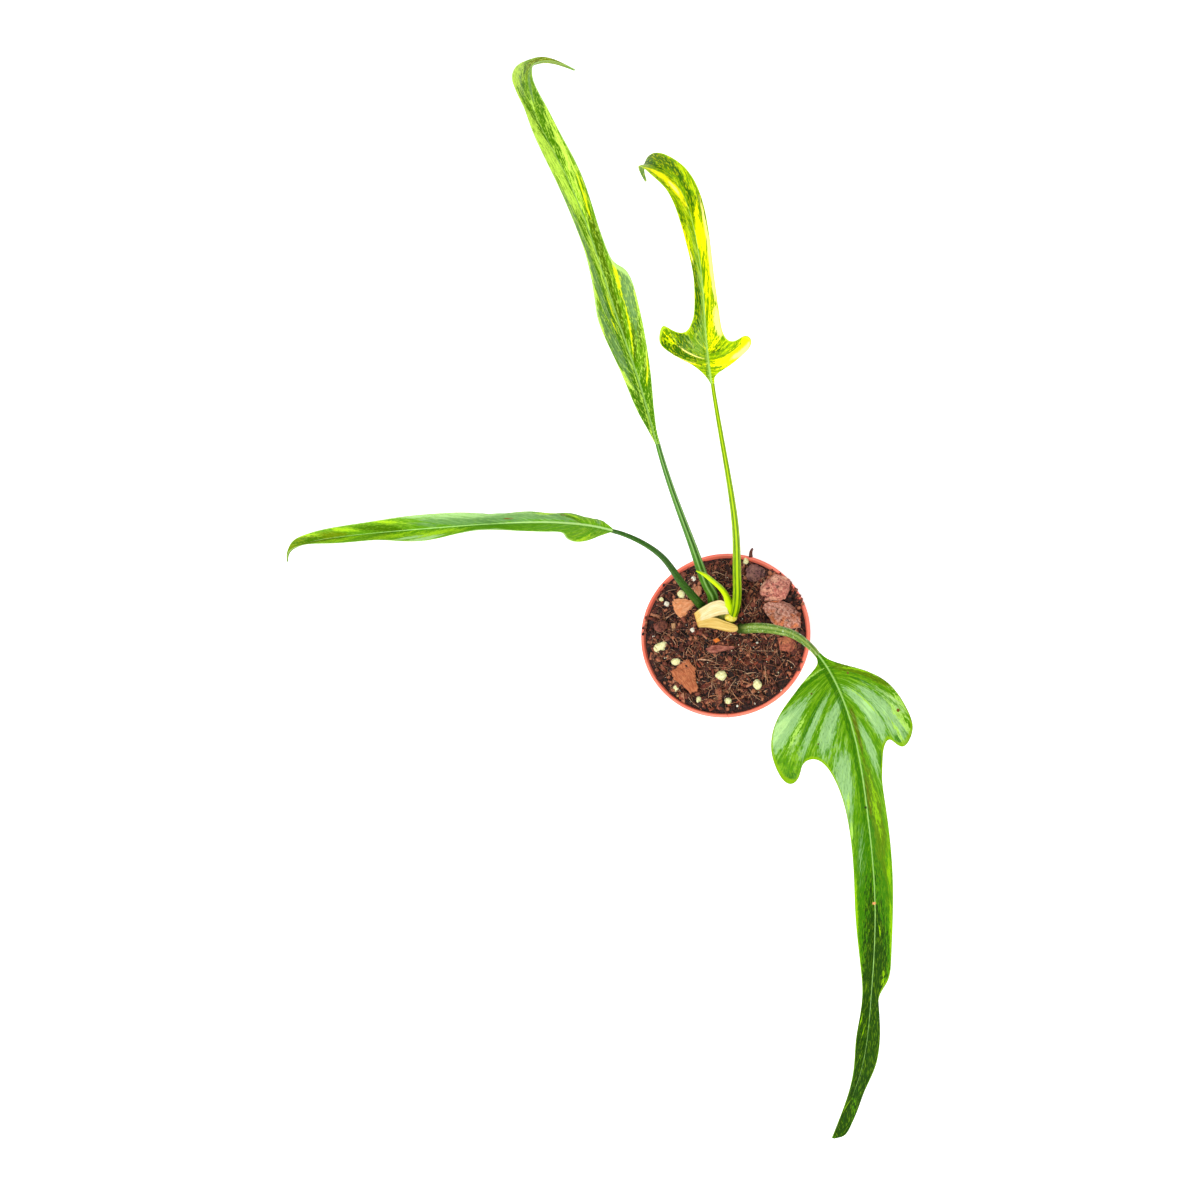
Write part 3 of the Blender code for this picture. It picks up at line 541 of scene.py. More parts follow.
# %% Leaf tables
# axis: points from the crown to the tip, of which number "joint" is where the blade starts
# facing: share of the blade, then the direction in which its upper face looks
# stalk: radii from the crown to the blade, evenly spaced
# fold: share, rise of the left and right half (degrees), their down-curl (degrees per 10 mm)
# hook: number of the veins that end in the tips of the basal lobes, counted in mm
# lag: how far behind its number a vein leaves the midrib at most, and where it reaches half of that
# bow: how far the veins bend forward
# veins: the pair's number, then its ends at the left and right margin, along and across
LEAVES = {
    "tall": {
        "axis": (
            (-5.5, 13.5, 69), (-4.6, 17.8, 76), (-5.5, 20.5, 90), (-6.5, 23.5, 110), (-7.3, 28, 130),
            (-9, 35, 160), (-10.5, 42, 184), (-11.5, 49.5, 205), (-14, 65.5, 231), (-18.5, 83, 255),
            (-23.5, 103, 271), (-31.5, 127.5, 282), (-41, 149, 286), (-49, 172, 283), (-52, 186, 278),
            (-51, 198.5, 270), (-46.5, 206, 262), (-38, 211, 250),
        ),
        "joint": 7,
        "stalk": (3.1, 2.3, 1.6, 1.1),
        "facing": ((0, 0.1, -0.75, 0.6), (0.4, 0.1, -0.45, 0.9), (0.8, 0.1, -0.1, 1), (1, 0.3, 0.5, 1)),
        "fold": ((0, 48, 48, 0, 0), (0.2, 42, 42, 4, 4), (0.5, 40, 40, 4, 4), (1, 35, 35, 4, 4)),
        "hook": 44,
        "lag": (24, 50),
        "bow": 0.7,
        "veins": (
            (0, 0, 1.1, 0, 1.1), (5, 10, 3.4, 8, 1.9), (10, 19, 5.6, 18, 3.6), (16, 28, 6.8, 28, 5.8),
            (22, 36, 7.3, 38, 8), (28, 46, 8.2, 48, 10), (34, 55, 9.2, 57, 11.6), (39, 62, 9.6, 65, 12.6),
            (44, 66, 9, 71, 12.8), (49, 71, 7.8, 76, 11.6), (54, 76, 6.7, 79, 8.4), (61, 81, 6, 82, 6.2),
            (70, 88, 5.4, 88, 5.4), (84, 100, 5.6, 99, 5.6), (100, 115, 5.8, 114, 7),
            (116, 130, 5.4, 129, 7), (130, 143, 4.6, 142, 6.9), (144, 155, 4.2, 154, 5.8),
            (158, 168, 5.7, 167, 4.6), (170, 178, 5.2, 178, 4.4), (182, 188, 3.4, 188, 3.2),
            (192, 196, 2.6, 196, 2.6), (204, 206, 2.4, 206, 2.4), (220.6, 220.8, 0.5, 220.8, 0.5),
        ),
    },
    "young": {
        "axis": (
            (3.4, 6.8, 69), (5.8, 8.8, 75), (9, 12.5, 88), (11.5, 19, 109), (15, 31, 146),
            (15.5, 38.5, 164), (15, 52, 189), (14, 70, 215), (14.5, 83, 236), (15, 98.5, 248),
            (13.5, 116, 255), (9.5, 133.5, 256), (2, 149.5, 252), (-5, 158.5, 247), (-9.3, 163, 240.5),
            (-10.8, 164.5, 234), (-10.6, 164.4, 228),
        ),
        "joint": 7,
        "stalk": (2.4, 2, 1.35, 0.85),
        "facing": (
            (0, 0, -0.8, 0.6), (0.4, 0, -0.4, 0.9), (0.8, -0.1, -0.1, 1), (0.9, -0.3, 0.3, 1),
            (1, -0.75, 0.65, 0.2),
        ),
        "fold": ((0, 35, 35, 5, 5), (0.5, 32, 32, 5, 5), (1, 35, 35, 5, 5)),
        "hook": 14,
        "lag": (20, 30),
        "bow": 0.35,
        "veins": (
            (0, 0, 0.8, 0, 0.8), (3, 4, 2.4, 4, 2.2), (5.5, 8.5, 5, 8, 6.2), (7.5, 13, 8.6, 12.5, 11.6),
            (9, 16.5, 12.6, 17, 16.6), (10, 20, 16.6, 20, 19.8), (11, 23, 19.8, 22.5, 21.2),
            (12, 26, 20.6, 24.2, 20.4), (13.4, 29.4, 19, 24.4, 18), (15, 28.8, 16.4, 23, 15.2),
            (16.8, 26.8, 13, 22, 12.2), (18.8, 26.2, 9.4, 23, 9.5), (21.4, 28, 7, 26, 7.9),
            (25, 32, 5.1, 30, 7.3), (31, 39, 4.2, 38, 6.4), (41, 48, 3.9, 48, 5.8), (52, 59, 4.8, 60, 6.3),
            (66, 73, 5.5, 74, 7.2), (80, 87, 5.8, 87, 7.2), (92, 98, 6.4, 98, 6.2), (104, 109, 5.6, 109, 5),
            (114, 118, 3.6, 118, 3.4), (123, 126, 1.6, 126, 1.6), (132.6, 132.8, 0.5, 132.8, 0.5),
        ),
    },
    "left": {
        "axis": (
            (-9.6, 14.6, 69), (-11.2, 14.8, 75), (-12.5, 15.4, 82), (-15, 17, 94), (-17.5, 19, 107),
            (-19.7, 21.5, 120), (-22.7, 24, 132), (-27, 26, 141), (-33.5, 28.5, 148), (-42.5, 31.5, 152),
            (-63, 35.5, 156), (-90.5, 38, 156), (-126.5, 42, 148), (-169.5, 48, 133), (-206.5, 53.5, 117),
            (-228.5, 55.5, 106.5), (-242.5, 52.5, 97.5), (-244.2, 50.4, 94.5),
        ),
        "joint": 9,
        "stalk": (2.4, 2, 1.5, 1.05),
        "facing": ((0, 0.2, -0.2, 1), (0.5, 0, -0.2, 1), (0.85, -0.2, -0.1, 1), (1, -0.5, 0.15, 0.85)),
        "fold": (
            (0, 45, -15, 6, 90), (0.05, 46, -10, 6, 110), (0.13, 48, -5, 4, 70), (0.28, 60, 60, 2, 0),
            (0.45, 40, 58, 2, 0), (0.62, 54, 58, 2, 0), (0.8, 55, 52, 2, 0), (1, 60, 40, 2, 0),
        ),
        "hook": 11,
        "lag": (20, 30),
        "bow": 0.8,
        "veins": (
            (0, 0, 1, 0, 1), (1.6, 3.5, 4.6, 3.5, 3.2), (3.4, 7, 8.4, 7, 5.9), (5, 10, 11.2, 10, 8.5),
            (6.6, 13.4, 13, 13.4, 9.8), (8.2, 17, 13.4, 17, 10), (10, 19.8, 12.2, 20.4, 9),
            (12, 21.4, 10.2, 23, 7.4), (15, 23.4, 8, 26, 6.2), (20, 28, 7.8, 31, 5.4),
            (28, 37, 8.2, 40, 5.5), (43, 53, 8.2, 54, 6.1), (58, 68, 7.6, 69, 9.4), (76, 86, 8.8, 88, 10.3),
            (96, 106, 9.4, 107, 10.3), (116, 125, 8.4, 126, 9.4), (136, 144, 8.2, 145, 8.4),
            (154, 162, 7.8, 163, 7.3), (170, 177, 6, 178, 6.4), (184, 190, 4, 190, 5.4),
            (198, 202, 2.2, 202, 4.2), (208, 210, 1.1, 210, 2), (218, 218.4, 0.5, 218.4, 0.5),
        ),
    },
    "broad": {
        "axis": (
            (8.4, 2.4, 69.5), (11.2, 0.7, 74.4), (15.5, -1.2, 82), (24, -4.5, 92), (31, -8.4, 100.5),
            (37.5, -12.6, 107.5), (43.5, -18.6, 113.5), (49, -26, 118), (62, -59.5, 122), (66.5, -96, 113),
            (67.5, -140, 90), (63, -182, 62), (56, -216, 42), (40, -249, 26),
        ),
        "joint": 7,
        "stalk": (2.7, 2.55, 2.1, 1.4),
        "facing": (
            (0, 0, 0, 1), (0.5, 0, -0.3, 1), (0.8, 0.1, -0.3, 1), (0.92, 0.45, -0.3, 0.9),
            (1, 0.6, -0.3, 0.8),
        ),
        "fold": (
            (0, 22, 18, 16, 6), (0.25, 16, 14, 12, 6), (0.6, 18, 18, 6, 6), (0.8, 24, 26, 6, 6),
            (1, 30, 34, 6, 6),
        ),
        "hook": 23,
        "lag": (24, 34),
        "bow": 0.6,
        "veins": (
            (0, 0, 1.4, 0, 1.4), (3, 5, 2.6, 4, 2.8), (6, 11, 7, 7, 6.8), (8, 17, 13.8, 10.6, 13.6),
            (9.5, 22.6, 19.8, 15, 20.4), (11, 29, 23.8, 21, 28.2), (12.5, 37, 26.2, 29, 34.6),
            (14, 43.6, 26.6, 39, 38.2), (16, 48.4, 24, 49, 38.4), (18.5, 51, 20.6, 57.6, 36),
            (21.5, 49.8, 17.6, 60.4, 32), (25, 47.4, 15, 57, 28.2), (29.5, 48.8, 12.6, 51.6, 25.6),
            (35, 52.6, 10.8, 50, 20.6), (42, 58.6, 9.4, 54, 15.8), (52, 66, 8.4, 63, 12.2),
            (66, 80, 8.6, 78, 9.6), (88, 102, 8.7, 101, 9.1), (112, 125, 8.2, 124, 9.4),
            (134, 146, 8.1, 144, 7.8), (150, 161, 7.5, 160, 5.6), (163, 172, 3.9, 172, 4.4),
            (176, 184, 5, 184, 4.9), (190, 197, 6.2, 197, 5.9), (204, 210, 6, 210, 5),
            (218, 223, 4.6, 223, 4), (230, 234, 4.9, 234, 3.6), (240, 244, 5.2, 244, 3),
            (248, 250.4, 4.6, 250.4, 2), (254.4, 254.6, 0.8, 254.6, 0.5),
        ),
    },
}
print("leaves:", ", ".join(LEAVES))

# %% [markdown]
# ### The blade's surface
#
# Each row of the grid is a pair of side veins. A vein is drawn flat first, as a curve from the
# midrib to the margin. Then its half of the blade is folded up at the midrib, curled down
# towards the margin, and carried along the bent midrib in space. The columns stand closer
# together near the midrib, where the relief is finest: a pale ridge in a shallow valley.

# %% Blade surface
BLADE_ROWS = 330
HALF_COLUMNS = 32
COLUMN_EASE = 1.5         # above 1, columns stand closer at the midrib
BLADE_GAP = 0.15          # half the air between a stalk and its blade
STRAIGHT = 0.0001         # least curl (radians per mm), so that nothing is divided by zero
HALF_THICKNESS = 0.25


def bell(value, width):
    """1 at 0, falling to nearly 0 at twice the width."""
    return np.exp(-(value / width) ** 2)


def flat_to_space(path, leaf, start, along, across, side):
    """Place of a flat point of one half.

    The half rises from the midrib at an angle that falls steadily outwards, so its cross
    section is an arc: the integral of the cosine gives its way out, that of the sine its height.
    """
    length = path.total - start
    share = np.clip(along / length, 0, 1)
    facing = np.array(leaf["facing"])
    folds = np.array(leaf["fold"])
    at = start + along
    ahead = path.ahead(at)
    up = upright(spline(facing[:, 0], facing[:, 1:], share), ahead)
    left = np.cross(up, ahead)
    bends = np.radians(eased(folds[:, 0], folds[:, 1:], share))
    rise = bends[..., 0] if side > 0 else bends[..., 1]
    curl = (bends[..., 2] if side > 0 else bends[..., 3]) / 10
    curl = np.where(np.abs(curl) < STRAIGHT, STRAIGHT, curl)
    out = (np.sin(rise) - np.sin(rise - curl * across)) / curl
    lift = (np.cos(rise - curl * across) - np.cos(rise)) / curl
    return path.place(at) + left * (side * out)[..., None] + up * lift[..., None]


def blade_grid(path, leaf):
    """Middle points of a blade, and each point's vein number, place along and across, and share.

    A vein is a quadratic curve from its foot on the midrib to its end, whose handle sits further
    out in the basal lobes. Its foot lags behind its number n by a share of c / (c + 1), where c
    is the cube of n over the half-way number, and the lag ends at the tip. The share of the way
    out runs from -1 at the right margin to 1 at the left one.
    """
    veins = np.array(leaf["veins"], float)
    table = spline(np.arange(len(veins)), veins, np.linspace(0, len(veins) - 1, BLADE_ROWS))
    start = path.knots[leaf["joint"]] + BLADE_GAP
    share = (np.linspace(0, 1, HALF_COLUMNS + 1) ** COLUMN_EASE)[None, :]
    number = table[:, :1]
    most, half_way = leaf["lag"]
    late = (number / half_way) ** 3
    foot = number - most * late / (late + 1) * (1 - (number / number.max()) ** 5)
    reach = number / leaf["hook"]
    bow = leaf["bow"] * (0.6 * bell(reach - 1, 0.6) + 0.4 * np.clip(reach, 0, 1))
    halves, places = [], []
    for side, first in ((-1, 3), (1, 1)):
        end_along, end_across = table[:, first:first + 1], table[:, first + 1:first + 2]
        along = foot + (end_along - foot) * (2 * (0.5 - 0.4 * bow) * share * (1 - share) + share ** 2)
        across = end_across * (2 * (0.5 + 0.25 * bow) * share * (1 - share) + share ** 2)
        halves.append(flat_to_space(path, leaf, start, along, across, side))
        places.append(np.stack(np.broadcast_arrays(number, along, side * across, side * share), axis=-1))
    middle, place = [np.concatenate([low[:, ::-1], high[:, 1:]], axis=1) for low, high in (halves, places)]
    return middle, *np.moveaxis(place, -1, 0)


def vein_places(along, across, share):
    """Two measures in mm for each point: across the veins, and out along its own vein.

    The first adds up how far apart neighbouring veins run, on average between 0.3 and 0.9 of
    the way out. The second is the length of the vein from the midrib, negative on the right.
    """
    flat = np.stack([along, across], axis=-1)
    to_next = np.gradient(flat, axis=0)
    outwards = unit(np.gradient(flat, axis=1) + 1e-9)
    apart = np.abs(to_next[..., 0] * outwards[..., 1] - to_next[..., 1] * outwards[..., 0])
    weight = (np.abs(share) > 0.3) & (np.abs(share) < 0.9)
    lane = np.cumsum((apart * weight).sum(axis=1) / weight.sum(axis=1))
    steps = np.linalg.norm(np.diff(flat, axis=1), axis=-1)
    length = np.concatenate([np.zeros((len(flat), 1)), np.cumsum(steps, axis=1)], axis=1)
    length = length - length[:, [HALF_COLUMNS]]
    return np.broadcast_to(lane[:, None], length.shape), length


def blade_faces(middle, number, lane, across, share):
    """Upper and under face of a blade: its middle, moved along the normal by the relief.

    The midrib fades towards the tip. On the upper face it is a low ridge in a valley, the
    difference of two bell curves, and on the under face it stands out round. Side veins are sine
    ripples of two widths across the lanes. Both faces draw together in the last bit of the margin.
    """
    fade = 1 - number / number.max()
    uneven = rough(np.stack([lane, across * 0.2, 0 * lane], axis=-1), 4, 3)
    ripple = 0.05 * np.sin(lane * 2.6 + 2 * uneven) + 0.035 * np.sin(lane * 5.1 + 3 * uneven)
    wave = ripple * np.clip(np.abs(across) / 2, 0, 1) * (0.4 + fade)
    upper = HALF_THICKNESS + fade * (0.3 * bell(across, 0.5) - 0.35 * bell(across, 1.7)) + wave
    under = HALF_THICKNESS + (0.15 + 0.85 * fade) * bell(across, 0.9) - wave
    edge = 1 - 0.7 * np.abs(share) ** 12
    normals = sheet_normals(middle)
    return middle + normals * (upper * edge)[..., None], middle - normals * (under * edge)[..., None]


# %% [markdown]
# ### Where the colours grow
#
# The plant is variegated: lime and cream areas lie between green ones, each drawn out along
# the veins, and parts of the blade carry painted sheen, light that the satin blade reflects.
# A picture could be laid over the
# blade, but then nothing could be changed. So each area is one soft spot in leaf coordinates,
# given one by one, and noise that is stretched along the veins makes its outline ragged later.

# %% Colour areas of the blades
# Areas of each colour: vein number, share of the way out to the left margin, or below 0 to the
# right one, half length along the veins and half width across them (mm), strength. The silver
# areas are painted sheen: grey-green where the satin blade reflects the soft light.
AREAS = {
    "tall": {
        "silver_sheen": (
            (30, 0.45, 9, 1.4, 1), (45, 0.62, 16, 3.2, 1.2), (50, -0.84, 13, 2.3, 1.4),
            (64, 0.75, 14, 3, 1.1), (86, 0.78, 11, 3.2, 1.2), (92, -0.97, 3, 3, 1.1),
            (172, -0.5, 10, 2, 0.9), (176, 0.7, 9, 3, 1.1),
        ),
        "olive": ((204, 0, 14, 4, 1.1),),
        "vivid": (
            (9, 0, 16, 8, 1.2), (14, 0.4, 14, 2.5, 1.1), (18, -0.4, 14, 3, 1.1), (30, 0, 12, 3, 0.9),
            (147, -0.5, 15, 2.2, 1.3), (158, 0.2, 8, 2, 0.7),
        ),
        "deep": (
            (36, -0.4, 10, 0.8, 0.8), (46, -0.6, 11, 1, 0.9), (52, -0.35, 12, 0.9, 1),
            (70, -0.3, 10, 1.2, 1.1), (88, -0.3, 14, 1.9, 1.3), (104, -0.25, 10, 1.9, 1.3),
        ),
        "bronze": ((186, -0.5, 10, 2.5, 0.7), (207, 0, 14, 3.5, 1.6)),
        "lime": (
            (24.6, 0.85, 7, 1, 1.3), (33, -0.7, 9, 0.6, 0.85), (38, 0.97, 3, 1.6, 1),
            (42, -0.9, 12, 1.1, 0.9), (52, 0.95, 4, 1.6, 1), (62, 0.97, 2, 6, 0.8), (100, 0.2, 5, 7, 0.75),
            (127, -0.65, 16, 2.8, 0.9), (130, 0.6, 22, 6, 1), (160, 0.9, 8, 5, 1.1), (170, -0.1, 6, 4, 0.6),
            (176, 0.97, 12, 3, 1.3), (176, 0.9, 6, 2, 0.7), (186, 0.5, 8, 3, 0.6),
        ),
        "cream": (
            (30, -0.5, 8, 0.5, 1), (55, -0.5, 12, 0.5, 1.1), (58, -0.85, 9, 1.3, 0.75),
            (60, 0.5, 3, 0.5, 0.9), (72, 0.35, 3, 0.8, 1.1), (104, -0.75, 12, 0.5, 0.85),
            (112, -0.5, 8, 1, 0.8), (207, 0, 5, 0.8, 0.7),
        ),
    },
    "young": {
        "silver_sheen": (
            (14.2, 0.45, 9, 0.5, 1), (17.5, 0.5, 6, 1.8, 1.2), (34, 0.35, 5, 9, 1.2), (60, 0.25, 4, 4, 0.9),
        ),
        "deep": (
            (9.6, 0.5, 6, 0.9, 0.7), (12, 0.9, 7, 0.9, 0.9), (12.5, 0.6, 12, 2.4, 1.05),
            (17, 0.8, 7, 1.4, 1.1), (18, -0.45, 5, 1.6, 0.9), (36, 0.9, 5, 8, 1.3), (42, 0.55, 5, 8, 0.85),
            (62, -0.8, 5, 2.6, 1.3), (64, -0.97, 3, 1.6, 1.2), (78, -0.7, 6, 1.6, 0.8),
            (80, 0.5, 8, 3.5, 0.75), (88, -0.4, 8, 2.4, 0.85), (88, 0.6, 8, 2.4, 0.8),
            (98, -0.6, 8, 3.2, 1.1), (98.8, 0.45, 6, 0.7, 1.5), (103.5, 0.35, 3, 0.7, 1.3),
            (120, 0, 12, 4, 1),
        ),
        "bronze": ((110, -0.7, 9, 3, 1.3),),
        "lime": (
            (13, 0.8, 6, 1, 0.7), (18, -0.6, 5, 1.5, 0.5), (60, -0.6, 8, 2, 0.6), (66, 0.5, 10, 2.5, 0.7),
            (82, 0.5, 12, 3.6, 0.65), (84, -0.75, 8, 3, 0.6),
        ),
        "cream": (
            (9.3, 0.7, 6, 0.6, 0.8), (10.6, -0.75, 16, 2.6, 1.5), (13, 0.85, 5, 0.3, 0.9),
            (21, -0.35, 6, 1.6, 0.9), (30, -0.5, 12, 3.5, 0.65), (50, -0.5, 14, 3, 0.65),
            (57, 0.8, 7, 1.2, 0.95), (66, -0.5, 10, 1.6, 0.9), (77, -0.3, 8, 1.2, 1.1),
            (95.8, 0.35, 6, 2.1, 1.8), (101.8, 0.6, 5, 1.7, 1.8),
        ),
        "pale": (
            (10.2, 0.8, 9, 0.35, 1), (10.5, -0.9, 9, 0.9, 1.3), (13.2, 0.35, 8, 0.35, 1),
            (24, -0.95, 4, 3, 1.3), (40, -0.97, 4, 6, 1.4), (55, 0.7, 3, 0.6, 0.9), (96, 0.35, 3, 1.3, 1.2),
        ),
    },
    "left": {
        "silver_sheen": (
            (7, -0.3, 6, 1.5, 0.7), (25, -0.5, 10, 2.6, 1.1), (50, -0.35, 14, 8, 1.4),
            (88, -0.4, 14, 6, 1.2), (110, -0.3, 9, 3, 0.7),
        ),
        "olive": ((176, -0.4, 14, 5, 0.7), (200, 0, 20, 9, 1)),
        "vivid": ((8, 0.4, 8, 2, 1.1), (40, 0.5, 14, 8, 1.2), (125, 0.2, 8, 5, 0.9)),
        "deep": (
            (18, -0.5, 8, 1.2, 0.9), (105, 0.25, 7, 5, 0.5), (140, -0.4, 14, 4.5, 1),
            (170, 0.3, 10, 5, 0.6), (196, -0.3, 10, 5, 0.8),
        ),
        "bronze": ((18.7, -0.75, 1, 0.4, 1.2), (62.9, -0.25, 1.2, 0.5, 1.4)),
        "lime": (
            (7.4, 0.8, 7, 1, 1), (8, -0.65, 6, 0.8, 1), (15.4, -0.65, 5, 0.6, 1.1), (22, -0.97, 3, 3, 1.1),
            (98, 0.5, 12, 6, 0.85), (119, -0.8, 8, 2.2, 1), (125, 0.5, 14, 4, 0.7),
            (157, -0.75, 10, 2.2, 1.1), (165, 0.6, 12, 5, 0.6), (184, -0.9, 8, 3, 0.9),
        ),
        "pale": (
            (42, 0.98, 3, 6, 1), (66, -0.8, 16, 12, 0.8), (90, -0.9, 8, 6, 0.8), (93, 0.8, 9, 3, 1),
            (108, 0.75, 8, 2, 0.9),
        ),
    },
    "broad": {
        "silver_sheen": (
            (14, -0.75, 18, 3.6, 1.2), (17, 0.7, 16, 4, 1.2), (24, -0.55, 18, 2.2, 1.1),
            (27, 0.6, 14, 2.8, 1.3), (38, -0.55, 16, 3, 1), (48, 0.6, 12, 4, 0.9), (60, -0.8, 14, 4.5, 1.1),
            (104, -0.55, 8, 2.4, 1),
        ),
        "olive": (
            (9.2, 0.75, 15, 3, 1.3), (9.6, -0.9, 10, 0.7, 0.6), (76, 0.35, 8, 3, 0.8),
            (86, 0.5, 12, 4, 1.1), (96, 0.3, 14, 6, 1), (118, 0.45, 16, 6, 0.9),
        ),
        "vivid": (
            (9.6, -0.45, 14, 0.8, 1.1), (13.4, 0.35, 8, 1, 0.8), (20, -0.42, 14, 0.9, 1.2),
            (20, 1, 6, 1.6, 1), (21, -1, 6, 2, 1), (40, 0.97, 4, 3, 0.7), (100, 0.1, 6, 6, 0.8),
            (128, -0.5, 24, 11, 0.85), (145, 0.5, 24, 11, 0.8),
        ),
        # On the broad leaf the deep areas toward the tip are partly painted shade, one half of the strap
        # darker than the other.
        "deep": (
            (16, 1, 3, 0.8, 0.9), (18.5, -1, 3, 1, 1), (140, -0.15, 5, 6, 0.7), (160, 0.5, 22, 8, 0.65),
            (164, -0.4, 20, 9, 1.15), (180, -0.7, 20, 8, 1), (200, 0.5, 36, 12, 1.5),
            (208, -0.5, 28, 14, 0.8), (232, -0.3, 16, 8, 1.1), (246, 0, 16, 6, 1.3),
        ),
        "bronze": ((52, 0.2, 3.6, 7, 1), (90, 0.15, 3.4, 3, 0.9)),
        "lime": (
            (8.2, -0.45, 9, 0.35, 1.1), (9, 0.8, 11, 0.8, 0.9), (11.8, 0.98, 6, 2.4, 1),
            (15, 0.85, 12, 1.8, 0.8), (17, -0.62, 10, 0.9, 1), (17.9, 0.85, 7, 0.7, 1),
            (23, 0.5, 10, 0.5, 1.1), (32, -0.6, 8, 0.8, 0.6), (66, -0.85, 5, 0.8, 0.9),
            (78, -0.9, 4, 1, 0.9),
        ),
        "cream": (
            (9.6, 0.55, 7, 0.6, 0.9), (75, 0.45, 9, 1.2, 0.7), (88, 0.45, 9, 1.8, 0.75),
            (100, 0.8, 8, 2.5, 0.65), (120, -0.97, 3, 6, 1), (125, 0.9, 5, 4, 0.8),
            (146, -0.5, 4, 0.3, 0.8), (150, 0.3, 3, 0.5, 0.9), (156, 0.85, 5, 1, 0.5),
            (174, -0.4, 5, 0.25, 0.8), (188, -0.7, 6, 0.4, 0.8), (200, -0.5, 8, 0.3, 0.75),
            (210, -0.7, 6, 0.3, 0.7), (236, -0.6, 5, 0.5, 0.8),
        ),
        # On the broad leaf the pale areas are painted highlights, whitish where the lobes reflect the soft
        # light.
        "pale": (
            (13.5, -0.85, 16, 3.2, 0.7), (13.5, 0.7, 14, 2.4, 0.6), (18, -0.7, 12, 1.5, 0.55),
            (30, 0.6, 12, 3, 0.5),
        ),
    },
}
# Bands beside the midrib: colour, side, how far out and half width (mm), strength, how far they
# go along the blade (mm). The vivid bands are partly painted shade: darker green in the shallow
# channel beside the rib.
BANDS = {
    "tall": (("vivid", 1, 3.2, 0.7, 0.9, 120), ("vivid", -1, 1.6, 0.7, 0.7, 120),
             ("lime", 1, 1.8, 0.6, 0.8, 170)),
    "young": (("vivid", 1, 2.0, 0.5, 0.6, 60), ("silver_sheen", 1, 1.1, 0.7, 1.1, 60)),
    "left": (("vivid", 1, 1.5, 1.1, 1.0, 140), ("vivid", -1, 1.3, 0.6, 0.6, 120)),
    "broad": (("vivid", -1, 1.6, 1.2, 1.2, 120), ("vivid", 1, 1.1, 0.5, 0.7, 60)),
}
# In this order one colour is laid over the other
LAYERS = ("silver_sheen", "olive", "vivid", "deep", "bronze", "lime", "cream", "pale")


def colour_masks(name, number, lane, length, along, across, share):
    """Strength of each colour at each point: the highest of its areas' two-way bell curves."""
    masks = {layer: np.zeros(share.shape) for layer in LAYERS}
    for layer, spots in AREAS[name].items():
        for vein, out, half_length, half_width, strength in spots:
            row = np.argmin(np.abs(number[:, 0] - vein))
            column = np.argmin(np.abs(share[row] - out))
            far = bell(length - length[row, column], half_length)
            wide = bell(lane - lane[row, column], half_width)
            masks[layer] = np.maximum(masks[layer], strength * far * wide)
    for layer, side, out, half_width, strength, reach in BANDS[name]:
        band = strength * bell(across - side * out, half_width) * bell(along / reach, 1.0)
        masks[layer] = np.maximum(masks[layer], band)
    masks["margin"] = bell(1 - np.abs(share), 0.05)
    return masks


print("colour areas:", {name: sum(map(len, spots.values())) for name, spots in AREAS.items()})

# %% [markdown]
# ### Leaf skin
#
# A leaf is satin, not glossy: light slides along it where the wax lies even. Two greens make
# the ground. Then the areas are laid over it one by one, each made ragged by noise that is
# long along the veins and short across them. Over them come light flecks and dark shades, the
# marbling that sap gives to such leaves, and painted sheen, light streaks in the silvery areas.
# The pale midrib is a line on the way across, and the under face is paler and duller. The
# veins also bend the normals a little.
# The blade also glows faintly in its own colour: painted light that stands for light shining through it.

# %% Colours of the leaves
# Each colour for the tall, young, left and broad leaf, or None where the leaf has no such area
TINTS = {
    "ground": ("568800", "6c9800", "629c10", "4c8800"),     # the two greens of the whole blade
    "light": ("80b00c", "a8c800", "88b824", "74a810"),
    # silver: painted sheen, the grey-green of soft light reflected by the blade
    "silver_sheen": ("688f4c", "78a434", "6c9854", "8cb874"),     # from here on, one for each area
    "olive": ("6c8c10", None, "748c00", "567800"),
    "vivid": ("487c00", "588c00", "5c9c08", "387400"),
    "deep": ("4c6c00", "346400", "4c7800", "1c3e00"),
    "bronze": ("7c8c00", "4c7000", "8a4a2c", "586400"),
    "lime": ("c8ee54", "bcd800", "b0dc20", "a4d454"),
    "cream": ("dce80c", "fcf604", None, "84b800"),
    # pale: cream on the young leaf; on the broad leaf a painted highlight
    "pale": (None, "fff484", "acd488", "b0d888"),
    "fleck": ("ccf058", "f0f400", "a4cc40", "84b010"),      # light and dark marbling
    "shade": ("407000", "407400", "407800", "2c6000"),
    # sheen: painted highlight, light streaks in the silver areas
    "sheen": ("8cb46c", "b4d870", "94c078", "acdc8c"),      # streaks in the silvery areas
    "margin": ("bce47c", "c4e42c", "b0d478", "84b008"),
    "rib": ("98c060", "a0c860", "b4dc84", "98c468"),
}
# Small marks: way along and across (mm), radius, colour
SPECKS = {
    "broad": ((75.6, -0.5, 0.7, "2c3c10"), (122.5, -0.4, 1.0, "e09a60"), (15.6, 7.1, 0.7, "6b5a20"),
              (18.2, -12.8, 0.6, "5a4a18"), (36.6, 21.9, 0.9, "6b4a18"), (43.1, -17.1, 0.5, "4a3a18")),
}
# How far the noise moves the outline of a colour, and the two levels between which it fades
RAGGED = {"silver_sheen": (1.1, 0.3, 0.7), "vivid": (1.1, 0.3, 0.6), "bronze": (0.9, 0.3, 0.8),
          "olive": (1.1, 0.3, 0.6), "pale": (0.9, 0.3, 0.8)}
RAGGED_ELSE = (2.0, 0.48, 0.55)
UNDERSIDE = "7c9c54"
